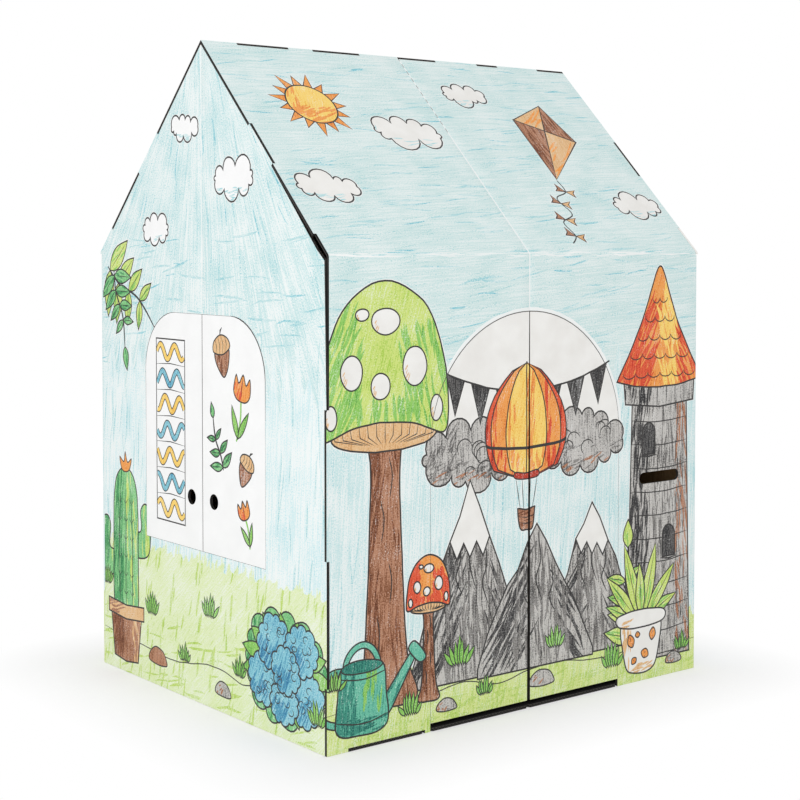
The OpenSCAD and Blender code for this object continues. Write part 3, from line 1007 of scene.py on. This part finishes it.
def sheet_spot(tree):
    """Where a point lies on its flat sheet, in millimetres."""
    return node(tree, "Attribute", attribute_name="sheet").outputs["Vector"]


def speckle(tree, spot, size, detail=2.0, roughness=0.55):
    return node(tree, "TexNoise", {"Vector": spot, "Scale": 1 / size, "Detail": detail,
                                   "Roughness": roughness}).outputs["Fac"]


def strokes(tree, spot, slant, length, width):
    """Noise drawn out into strokes at a slant."""
    laid = node(tree, "Mapping", {"Vector": spot, "Rotation": (0, 0, math.radians(slant)),
                                  "Scale": (length, width, 1)}, vector_type="TEXTURE").outputs["Vector"]
    return node(tree, "TexNoise", {"Vector": laid, "Scale": 1.0, "Detail": 3.0, "Roughness": 0.6,
                                   "Distortion": 0.3}).outputs["Fac"]


def calc(tree, operation, *values):
    return node(tree, "Math", dict(enumerate(values)), operation=operation).outputs["Value"]


def vector_calc(tree, operation, *values):
    made = node(tree, "VectorMath", dict(enumerate(values)), operation=operation)
    return made.outputs["Value" if operation == "LENGTH" else "Vector"]


def weigh(tree, a, b, share):
    """a + b * share"""
    return calc(tree, "MULTIPLY_ADD", b, share, a)


def ramp(tree, value, low, high, to_low=0.0, to_high=1.0):
    return node(tree, "MapRange", {"Value": value, "From Min": low, "From Max": high, "To Min": to_low,
                                   "To Max": to_high}).outputs["Result"]


def mix(tree, factor, a, b):
    made = node(tree, "Mix", {"Factor": factor}, data_type="RGBA")
    for socket, value in (("A_Color", a), ("B_Color", b)):
        entry = next(each for each in made.inputs if each.identifier == socket)
        if isinstance(value, bpy.types.NodeSocket):
            tree.links.new(value, entry)
        else:
            entry.default_value = value
    return next(each for each in made.outputs if each.identifier == "Result_Color")


def bump(tree, shader, height, depth):
    made = node(tree, "Bump", {"Height": height, "Distance": depth * MM, "Strength": BUMP})
    tree.links.new(made.outputs["Normal"], shader.inputs["Normal"])


def fan_spot(tree, spot):
    """A place on the gable by its swing and reach from a point over the apex, where the strokes fan from."""
    below = vector_calc(tree, "MULTIPLY_ADD", spot, (1, -1, 0), (-GABLE_U, RIDGE_H + FAN_RISE, 0))
    parts = node(tree, "SeparateXYZ", {"Vector": below}).outputs
    swing = calc(tree, "ARCTAN2", parts["X"], parts["Y"])
    across = calc(tree, "MULTIPLY", swing, FAN_REACH)
    reach = vector_calc(tree, "LENGTH", below)
    return node(tree, "CombineXYZ", {"X": across, "Y": reach}).outputs["Vector"]


def pencil(name, light, deep, slant, cover=0.85, heavy=0.3, length=44.0, width=2.2, gap=0.6, fan=False):
    """Coloured pencil: strokes that skip the hollows of the paper's tooth, with heavier strokes over them."""
    made, tree, shader = new_material(name, 0.82)
    spot = sheet_spot(tree)
    lie = fan_spot(tree, spot) if fan else spot
    tooth = speckle(tree, spot, 2.4, 2.0, 0.6)
    pressure = speckle(tree, spot, 70.0)

    def coat(heading, reach, breadth, share):
        """How firmly a pass of strokes marks the paper, with the pencil on about this share of it."""
        marks = strokes(tree, lie, heading, reach, breadth)
        press = weigh(tree, weigh(tree, marks, tooth, TOOTH), pressure, PATCH)
        level = (1 + TOOTH + PATCH) / 2 + (0.5 - share) * 0.6
        return ramp(tree, press, level - 0.1, level + 0.1)

    hollow = [gap * a + (1 - gap) * b for a, b in zip(linear(PAPER), linear(light))]
    colour = mix(tree, coat(slant, length, width, cover), hollow, linear(light))
    colour = mix(tree, coat(slant + 7, length * 0.8, width * 1.3, heavy), colour, linear(deep))
    tree.links.new(colour, shader.inputs["Base Color"])
    bump(tree, shader, tooth, 0.12)
    return made


def paper(name, dull, bright):
    """Bare liner with a faint tooth and cast."""
    made, tree, shader = new_material(name, 0.78)
    spot = sheet_spot(tree)
    tooth = speckle(tree, spot, 1.6, 3.0, 0.7)
    cast = ramp(tree, weigh(tree, speckle(tree, spot, 46.0), tooth, 0.4), 0.5, 0.9)
    tree.links.new(mix(tree, cast, linear(dull), linear(bright)), shader.inputs["Base Color"])
    bump(tree, shader, tooth, 0.1)
    return made


def ink(name, light, deep):
    """Printed line, a little starved where the paper is rough."""
    made, tree, shader = new_material(name, 0.6)
    starved = ramp(tree, speckle(tree, sheet_spot(tree), 1.4, 2.0), 0.35, 0.75)
    tree.links.new(mix(tree, starved, linear(deep), linear(light)), shader.inputs["Base Color"])
    return made


def flute_wave(tree, across):
    """Up and down across the sheet, once for each flute."""
    return calc(tree, "SINE", calc(tree, "MULTIPLY", across, math.tau / FLUTE))


def board_edge(name):
    """Die-cut edge, coloured dark grey: fluting between two plies of liner, with painted shade, very dark, in
    the gaps between the flutes.
    """
    made, tree, shader = new_material(name, 0.9)
    spot = sheet_spot(tree)
    parts = node(tree, "SeparateXYZ", {"Vector": spot}).outputs
    depth = ramp(tree, parts["Z"], -BOARD_T, 0.0)
    flute = weigh(tree, depth, flute_wave(tree, parts["X"]), 0.34)
    off_flute = calc(tree, "ABSOLUTE", calc(tree, "SUBTRACT", flute, 0.5))
    off_middle = calc(tree, "ABSOLUTE", calc(tree, "SUBTRACT", depth, 0.5))
    ply = ramp(tree, off_middle, 0.42, 0.44)
    shaded_flute_gaps = ramp(tree, off_flute, 0.06, 0.11)
    fuzz = speckle(tree, spot, 1.2, 3.0)
    fibre = mix(tree, fuzz, linear((58, 55, 53)), linear((96, 92, 88)))
    # Painted shade: very dark in the gaps between the flutes.
    hollow = mix(tree, shaded_flute_gaps, fibre, linear((26, 25, 25)))
    tree.links.new(mix(tree, ply, hollow, linear((92, 88, 84))), shader.inputs["Base Color"])
    bump(tree, shader, calc(tree, "SUBTRACT", ply, shaded_flute_gaps), 0.5)
    return made


def liner(name, dull, bright):
    """Unprinted liner, its flutes showing faintly through."""
    made, tree, shader = new_material(name, 0.85)
    spot = sheet_spot(tree)
    parts = node(tree, "SeparateXYZ", {"Vector": spot}).outputs
    ribs = flute_wave(tree, parts["X"])
    fibre = strokes(tree, spot, 90, 16.0, 1.2)
    blotch = speckle(tree, spot, 60.0)
    tone = ramp(tree, weigh(tree, weigh(tree, fibre, blotch, 0.6), ribs, 0.025), 0.5, 1.1)
    tree.links.new(mix(tree, tone, linear(dull), linear(bright)), shader.inputs["Base Color"])
    bump(tree, shader, weigh(tree, ribs, fibre, 1.5), 0.12)
    return made


def make_paints():
    return {
        "sky": pencil("sky_pencil", (209, 231, 230), (160, 211, 213), 3, 0.56, 0.14, 110.0, 2.6, 0.6),
        "sky_low": pencil("low_sky_pencil", (204, 231, 232), (156, 212, 218), 86, 0.5, 0.1, 110.0, 2.8, 0.8),
        "haze": pencil("gable_sky_pencil", (202, 230, 231), (148, 209, 215), 90, 0.5, 0.14, 120.0, 2.8, 0.85,
                       fan=True),
        "haze_low": pencil("low_gable_sky_pencil", (212, 237, 240), (172, 220, 228), 87, 0.45, 0.08, 110.0,
                           2.8, 0.9),
        "sky_mark": pencil("sky_stroke_pencil", (184, 222, 225), (132, 202, 212), 4, 0.6, 0.25, 20.0),
        "sky_deep": pencil("deep_sky_pencil", (146, 210, 219), (88, 182, 202), 14, 0.6, 0.3, 20.0),
        "grass": pencil("grass_pencil", (216, 230, 152), (186, 212, 98), 78, 0.72, 0.25),
        "turf": pencil("turf_pencil", (226, 238, 190), (204, 224, 140), 40, 0.62, 0.18),
        "grass_mark": pencil("grass_stroke_pencil", (198, 221, 122), (160, 200, 80), 78, 0.66, 0.25),
        "lime": pencil("lime_pencil", (210, 227, 130), (168, 205, 80), 70, 0.8),
        "leaf": pencil("leaf_pencil", (148, 205, 102), (86, 160, 72), 74, 0.82),
        "green": pencil("green_pencil", (142, 207, 140), (80, 158, 98), 80, 0.82),
        "green_deep": pencil("deep_green_pencil", (92, 170, 108), (46, 118, 74), 80, 0.86, 0.4),
        "brown": pencil("brown_pencil", (188, 138, 110), (130, 82, 56), 82, 0.86, 0.38),
        "brown_deep": pencil("deep_brown_pencil", (146, 94, 68), (92, 54, 38), 82, 0.88, 0.42),
        "tan": pencil("tan_pencil", (232, 192, 144), (208, 154, 100), 76, 0.85),
        "grey": pencil("grey_pencil", (202, 199, 195), (112, 110, 108), 84, 0.92, 0.36),
        "grey_deep": pencil("deep_grey_pencil", (150, 147, 144), (76, 74, 73), 84, 0.9, 0.4),
        "dark": pencil("dark_pencil", (108, 106, 105), (46, 46, 48), 80, 0.92, 0.5),
        "red": pencil("red_pencil", (230, 100, 68), (194, 54, 38), 80, 0.92, 0.35),
        "red_deep": pencil("deep_red_pencil", (192, 68, 50), (146, 40, 32), 80, 0.92, 0.4),
        "orange": pencil("orange_pencil", (243, 166, 90), (222, 118, 52), 70, 0.88),
        "yellow": pencil("yellow_pencil", (251, 216, 122), (239, 180, 72), 70, 0.88),
        "blue": pencil("blue_pencil", (142, 203, 217), (68, 146, 182), 62, 0.82, 0.32),
        "blue_deep": pencil("deep_blue_pencil", (92, 164, 194), (44, 106, 152), 62, 0.88, 0.4),
        "teal": pencil("teal_pencil", (112, 194, 168), (58, 142, 122), 80, 0.86),
        "teal_deep": pencil("deep_teal_pencil", (70, 150, 132), (32, 98, 90), 80, 0.9, 0.4),
        "paper": paper("bare_paper", (236, 234, 230), (245, 244, 241)),
        "halo": paper("uncoloured_paper", (240, 244, 243), (247, 249, 248)),
        "white": paper("white_liner", (247, 247, 247), (252, 252, 252)),
        "ink": ink("ink_line", (78, 76, 75), (44, 43, 43)),
        # Painted shade: cut lines are painted dark for the shade in their slits.
        "cut": ink("shaded_cut_line", (132, 130, 128), (84, 82, 80)),
        "edge": board_edge("cut_edge"),
        "kraft": liner("kraft_liner", (165, 126, 86), (201, 164, 120)),
        # Painted shade: the floor, top and back, is painted very dark for the dark seen under the doors.
        "black": liner("painted_shade_floor", (20, 20, 21), (40, 39, 39)),
    }


# Boards

def boundary_loops(faces, inner=lambda a, b: False):
    """Closed loops of the corners round a sheet of faces, less the edges that count as inner ones.

    The outside runs counter-clockwise and holes run clockwise.
    """
    directed = {(a, b) for face in faces for a, b in zip(face, face[1:] + face[:1])}
    follows = dict(sorted((a, b) for a, b in directed if (b, a) not in directed and not inner(a, b)))
    loops = []
    while follows:
        loop = [next(iter(follows))]
        while loop[-1] in follows:
            loop.append(follows.pop(loop[-1]))
        loops.append(loop[:-1])
    return loops


def largest_patch(faces, spots):
    """The faces of the patch with the most area, of those that share corners."""
    joined = list(range(len(spots)))

    def patch_of(index):
        while joined[index] != index:
            index = joined[index]
        return index

    for a, b, c in faces:
        joined[patch_of(b)] = patch_of(a)
        joined[patch_of(c)] = patch_of(a)
    sizes = {}
    for face in faces:
        patch = patch_of(face[0])
        sizes[patch] = sizes.get(patch, 0.0) + area([spots[index].xy for index in face])
    largest = max(sizes, key=sizes.get)
    return [face for face in faces if patch_of(face[0]) == largest]


def outer_loops(cad_node, side, creases):
    """Outlines of a board's outer face, flat, with its pressed creases closed."""
    mesh = cad_node.data
    spots = []
    for polygon in mesh.polygons:
        corners = [side.flat(mesh.vertices[index].co, polygon.normal) for index in polygon.vertices]
        normal = (corners[1] - corners[0]).cross(corners[2] - corners[0])
        if normal.z > 0.5 * normal.length and min(corner.z for corner in corners) > -BOARD_T / 2:
            spots.extend(corners)
    tree = kdtree.KDTree(len(spots))
    for index, spot in enumerate(spots):
        tree.insert((spot.x, spot.y, 0), index)
    tree.balance()
    first = []
    for index, spot in enumerate(spots):
        nearest = min(found[1] for found in tree.find_range((spot.x, spot.y, 0), WELD))
        first.append(first[nearest] if nearest < index else index)

    def beside_crease(a, b):
        across = (spots[a].x + spots[b].x) / 2
        return abs(spots[a].x - spots[b].x) < MERGE and any(
            abs(abs(across - middle) - CREASE_W / 2) < MERGE for middle in creases)

    faces = [first[index:index + 3] for index in range(0, len(first), 3)]
    whole = [face for face in faces if len(set(face)) == len(face)]
    loops = boundary_loops(largest_patch(whole, spots), beside_crease)
    return [straightened([spots[index].xy for index in loop]) for loop in loops]


def turns_at(before, here, after):
    """Whether a line that runs through three points turns at the middle one."""
    a = (here - before).normalized()
    b = (after - here).normalized()
    return abs(a.cross(b)) > STRAIGHT or a.dot(b) < 0


def straightened(loop):
    """The loop without points that lie on a straight stretch."""
    spans = zip(loop[-1:] + loop[:-1], loop, loop[1:] + loop[:1])
    return [here for before, here, after in spans if turns_at(before, here, after)]


def seams(flat, triangles, paints):
    """Lines along which one paint meets another, each from one meeting of lines to the next."""
    paint_by = {}
    for triangle, paint in zip(triangles, paints):
        for edge in zip(triangle, triangle[1:] + triangle[:1]):
            paint_by[edge] = paint
    beside = {}
    for (a, b), paint in paint_by.items():
        if paint_by.get((b, a), paint) != paint:
            beside.setdefault(a, []).append(b)
    meetings = [index for index, others in beside.items() if len(others) != 2]
    walked = set()
    lines = []
    for start in meetings + list(beside):
        for onward in beside[start]:
            line = [start]
            while (line[-1], onward) not in walked:
                walked.update(((line[-1], onward), (onward, line[-1])))
                line.append(onward)
                if len(beside[onward]) != 2:
                    break
                onward = next(index for index in beside[onward] if index != line[-2])
            if len(line) > 1:
                spots = [flat[index] for index in line]
                inner = [here for before, here, after in zip(spots, spots[1:], spots[2:])
                         if turns_at(before, here, after)]
                lines.append(spots[:1] + inner + spots[-1:])
    return lines


def middles_of(spots, triangles):
    corners = np.array([spot[:2] for spot in spots])
    return corners[triangles].mean(axis=1)


def triangulate(loops, lines):
    """Triangles inside the loops' outside and out of their holes, cut along lines.

    Returns the flat points, the loop point that each comes from, and the triangles.
    """
    spots, edges = [], []
    for loop in loops:
        first = len(spots)
        edges.extend((first + index, first + (index + 1) % len(loop)) for index in range(len(loop)))
        spots.extend(loop)
    for line in lines:
        edges.extend((index, index + 1) for index in range(len(spots), len(spots) + len(line) - 1))
        spots.extend(line)
    flat, _, triangles, sources, _, _ = delaunay_2d_cdt(spots, edges, [], 0, MERGE, True)
    middles = middles_of(flat, triangles)
    turns = sum(winding(loop, middles) for loop in loops)
    kept = [triangle for triangle, turn in zip(triangles, turns) if turn > 0]
    return flat, [min(source, default=None) for source in sources], kept


def winding(outline, spots):
    """How many times an outline goes counter-clockwise round each spot."""
    x, y = spots.T
    turns = np.zeros(len(spots), int)
    for a, b in zip(outline, outline[1:] + outline[:1]):
        left = (b.x - a.x) * (y - a.y) - (x - a.x) * (b.y - a.y)
        turns += (a.y <= y) & (b.y > y) & (left > 0)
        turns -= (a.y > y) & (b.y <= y) & (left < 0)
    return turns


def painted(spots, drawing):
    """The paint at each spot: a later shape lies over earlier ones, within another shape if it has one."""
    paints = np.full(len(spots), "paper", dtype=object)
    across, up = spots.T
    rising = np.argsort(up)
    levels = up[rising]
    covers = {}
    for index, (outline, paint, within) in enumerate(drawing):
        corners = np.array([point[:] for point in outline])
        left, low = corners.min(axis=0)
        right, high = corners.max(axis=0)
        level = rising[np.searchsorted(levels, low):np.searchsorted(levels, high)]
        near = level[(across[level] > left) & (across[level] < right)]
        covers[index] = near[winding(outline, spots[near]) != 0]
        shown = covers[index] if within is None else np.intersect1d(covers[index], covers[within], True)
        if paint == "halo":
            shown = shown[np.isin(paints[shown], SKY_PAINTS)]
        paints[shown] = paint
    return list(paints)


def reaches(outline, low, high):
    """Whether an outline's box overlaps the box between two corners."""
    least, most = extent(outline)
    return most.x > low.x and least.x < high.x and most.y > low.y and least.y < high.y


def crease_dip(u, creases):
    """How far a pressed crease lies below the face."""
    return -CREASE_DIP * max([0.0] + [1 - abs(u - middle) / (CREASE_W / 2) for middle in creases])


def rim_paint(a, b):
    """Paint of a cut edge: over a folded corner the liner is turned in over the gable's finger."""
    u, v = (a + b) / 2
    turned_in = abs(u - gable_edge(v)) < BOARD_T / 2 and -BEND_R < v - WALL_H < CORNER_FINGER
    return "paper" if turned_in else "edge"


def bend_lines():
    """Lines across a blank at each step of its two bends."""
    shares = [step / BEND_STEPS for step in range(BEND_STEPS + 1)]
    eave_end = HALF_L - 0.8 * BOARD_T
    corner_top = BEND_START - CORNER_CUT / 2
    eave = [BEND_START + BEND_R * FOLD * share for share in shares]
    corner = [CORNER_U + CORNER_R * math.pi / 2 * share for share in shares]
    return ([points((-FAR, level), (eave_end, level)) for level in eave]
            + [points((across, -FAR), (across, corner_top)) for across in corner])


def crease_lines(creases):
    """Upright lines at the middle and the two sides of each pressed crease."""
    places = [middle + shift for middle in creases for shift in (-CREASE_W / 2, 0, CREASE_W / 2)]
    return [points((across, -FAR), (across, FAR)) for across in places]


def cut_face(loops, drawing, lines):
    """Points and triangles of the face inside the loops, cut along lines and where paints meet."""
    low, high = extent([point for loop in loops for point in loop])
    near = [outline + outline[:1] for outline, _, _ in drawing if reaches(outline, low, high)]
    flat, _, triangles = triangulate(loops, near)
    borders = seams(flat, triangles, painted(middles_of(flat, triangles), drawing))
    flat, _, triangles = triangulate(loops, lines + borders)
    used = sorted({index for triangle in triangles for index in triangle})
    place = {index: order for order, index in enumerate(used)}
    return [flat[index] for index in used], [[place[index] for index in triangle] for triangle in triangles]


def build_board(node_name, side, drawing, lining, creases, folded):
    """One board: its drawn face, its cut edges and its plain back, closed, in the place of its CAD node."""
    bends = bend_lines() if folded else []
    loops = outer_loops(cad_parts[node_name], side, creases)
    front, faces = cut_face(loops, drawing, bends + crease_lines(creases))
    paints = painted(middles_of(front, faces), drawing)
    sheet = [(spot.x, spot.y, crease_dip(spot.x, creases)) for spot in front]

    # Edges, down from the rims of the face
    rims = boundary_loops(faces)
    below = {}
    for index in (index for rim in rims for index in rim):
        below[index] = len(sheet)
        sheet.append((front[index].x, front[index].y, -BOARD_T))
    for rim in rims:
        for a, b in zip(rim, rim[1:] + rim[:1]):
            faces.append([b, a, below[a], below[b]])
            paints.append(rim_paint(front[a], front[b]) if folded else "edge")

    # Back, between the lower rims
    flat, sources, triangles = triangulate([[front[index] for index in rim] for rim in rims], bends)
    rim_backs = dict(enumerate(below.values()))
    behind = {}
    for index in sorted({index for triangle in triangles for index in triangle}):
        if sources[index] in rim_backs:
            behind[index] = rim_backs[sources[index]]
        else:
            behind[index] = len(sheet)
            sheet.append((flat[index].x, flat[index].y, -BOARD_T))
    for triangle in triangles:
        faces.append([behind[index] for index in reversed(triangle)])
        paints.append(lining)
    return board_piece(node_name + "_board", side, sheet, faces, paints)


def board_piece(name, side, sheet, faces, paints):
    """The board folded into place, which keeps the flat place of each point for its materials."""
    mesh = bpy.data.meshes.new(name)
    mesh.from_pydata([side.placed(*spot) for spot in sheet], [], faces)
    slots = sorted(set(paints))
    for paint in slots:
        mesh.materials.append(PAINTS[paint])
    mesh.polygons.foreach_set("material_index", [slots.index(paint) for paint in paints])
    spots = mesh.attributes.new("sheet", "FLOAT_VECTOR", "POINT")
    spots.data.foreach_set("vector", [part for spot in sheet for part in spot])
    mesh.shade_smooth()
    mesh.set_sharp_from_angle(angle=math.radians(SHARP_TURN))
    piece = bpy.data.objects.new(name, mesh)
    bpy.context.scene.collection.objects.link(piece)
    return piece


def build_house():
    front = Side(unfold_sheet, fold_sheet)
    rear = Side(unfold_sheet, fold_sheet, turned=True)
    ground = Side(unfold_floor, fold_floor)
    front_print = blank_print(far_gable_drawing, front_drawing)
    back_print = blank_print(gable_drawing, back_drawing)
    blank_creases = (0.0, GABLE_U)
    boards = (
        ("front_sheet", "house", "printed_board", front, front_print, blank_creases, True),
        ("back_sheet", "house", "printed_board", rear, back_print, blank_creases, True),
        ("floor_sheet", "house", "plain_board", ground, painted_floor_shade(), (0.0,), False),
        ("left_door_leaf", "left_leaf", "printed_board", front, front_print, (), False),
        ("right_door_leaf", "right_leaf", "printed_board", front, front_print, (), False),
        ("left_front_shutter", "left_front_flap", "white_board", rear, back_print, (), False),
        ("left_back_shutter", "left_back_flap", "white_board", rear, back_print, (), False),
        ("right_front_shutter", "right_front_flap", "white_board", front, front_print, (), False),
        ("right_back_shutter", "right_back_flap", "white_board", front, front_print, (), False),
    )
    for node_name, body, slot, side, drawing, creases, folded in boards:
        # The floor's back is painted very dark too, as painted shade; the other boards get a kraft back.
        lining = "black" if slot == "plain_board" else "kraft"
        piece = build_board(node_name, side, drawing, lining, creases, folded)
        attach(piece, body)
        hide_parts(node_name)


# Stage

LENS = 72.93
CAMERA_AT = (-1.8115, -2.2953, 0.7737)
CAMERA_AZIMUTH = -38.382
CAMERA_RISE = 2.151
CAMERA_SHIFT = -0.125
WORLD_LIGHT = 0.82
KEY_AT = (-3.4, -2.6, 1.7)
KEY_AIM = (0, 0, 0.5)
KEY_SIZE = 3.0
KEY_WATTS = 45
FLOOR_REACH = 6.0
FLOOR_DROP = 0.0005
FADE_REACH = 0.22
FADE_NEAR = 0.45


def make_camera():
    azimuth = math.radians(CAMERA_AZIMUTH)
    rise = math.radians(CAMERA_RISE)
    back = Vector((math.sin(azimuth) * math.cos(rise), -math.cos(azimuth) * math.cos(rise), math.sin(rise)))
    data = bpy.data.cameras.new("camera")
    data.sensor_width = 36.0
    data.lens = LENS
    data.shift_y = CAMERA_SHIFT
    camera = bpy.data.objects.new("camera", data)
    camera.location = CAMERA_AT
    camera.rotation_euler = (-back).to_track_quat("-Z", "Y").to_euler()
    bpy.context.scene.collection.objects.link(camera)
    bpy.context.scene.camera = camera


def make_lamp(name, place, aim, size, watts):
    data = bpy.data.lights.new(name, "AREA")
    data.size = size
    data.energy = watts
    lamp = bpy.data.objects.new(name, data)
    lamp.location = place
    lamp.rotation_euler = (Vector(aim) - Vector(place)).to_track_quat("-Z", "Y").to_euler()
    bpy.context.scene.collection.objects.link(lamp)


def seen_directly(tree):
    """One for what the camera, a reflection or a pane shows, and zero for what lights the object."""
    path = node(tree, "LightPath").outputs
    either = calc(tree, "MAXIMUM", path["Is Camera Ray"], path["Is Glossy Ray"])
    return calc(tree, "MAXIMUM", either, path["Is Transmission Ray"])


def make_world(strength):
    world = bpy.data.worlds.new("studio")
    world.use_nodes = True
    tree = world.node_tree
    backdrop = tree.nodes["Background"]
    backdrop.inputs["Color"].default_value = (1, 1, 1, 1)
    tree.links.new(ramp(tree, seen_directly(tree), 0, 1, strength, 1.0), backdrop.inputs["Strength"])
    bpy.context.scene.world = world


def make_floor():
    """Pale floor that keeps a faint shadow and fades into the white backdrop away from the house."""
    mesh = bpy.data.meshes.new("floor")
    corners = box(-FLOOR_REACH, -FLOOR_REACH, FLOOR_REACH, FLOOR_REACH)
    mesh.from_pydata([corner.to_3d() for corner in corners], [], [(0, 1, 2, 3)])
    floor = bpy.data.objects.new("floor", mesh)
    floor.location.z = -FLOOR_DROP
    bpy.context.scene.collection.objects.link(floor)
    made, tree, shader = new_material("pale_floor", 0.95)
    shader.inputs["Base Color"].default_value = linear((243, 243, 243))
    spot = node(tree, "NewGeometry").outputs["Position"]
    past = vector_calc(tree, "SUBTRACT", vector_calc(tree, "ABSOLUTE", spot), (HALF_L * MM, HALF_W * MM, 0))
    away = vector_calc(tree, "LENGTH", vector_calc(tree, "MAXIMUM", past, (0, 0, 0)))
    fade = ramp(tree, away, 0.0, FADE_REACH, FADE_NEAR, 1.0)
    share = calc(tree, "MULTIPLY", fade, seen_directly(tree))
    glow = node(tree, "Emission", {"Color": (1, 1, 1, 1), "Strength": 1.0}).outputs["Emission"]
    blended = node(tree, "MixShader", {0: share, 1: shader.outputs["BSDF"], 2: glow}).outputs["Shader"]
    tree.links.new(blended, tree.nodes["Material Output"].inputs["Surface"])
    mesh.materials.append(made)


PAINTS = make_paints()
build_house()
make_camera()
make_world(WORLD_LIGHT)
make_lamp("key", KEY_AT, KEY_AIM, KEY_SIZE, KEY_WATTS)
make_floor()
bpy.context.scene.view_settings.view_transform = "Standard"
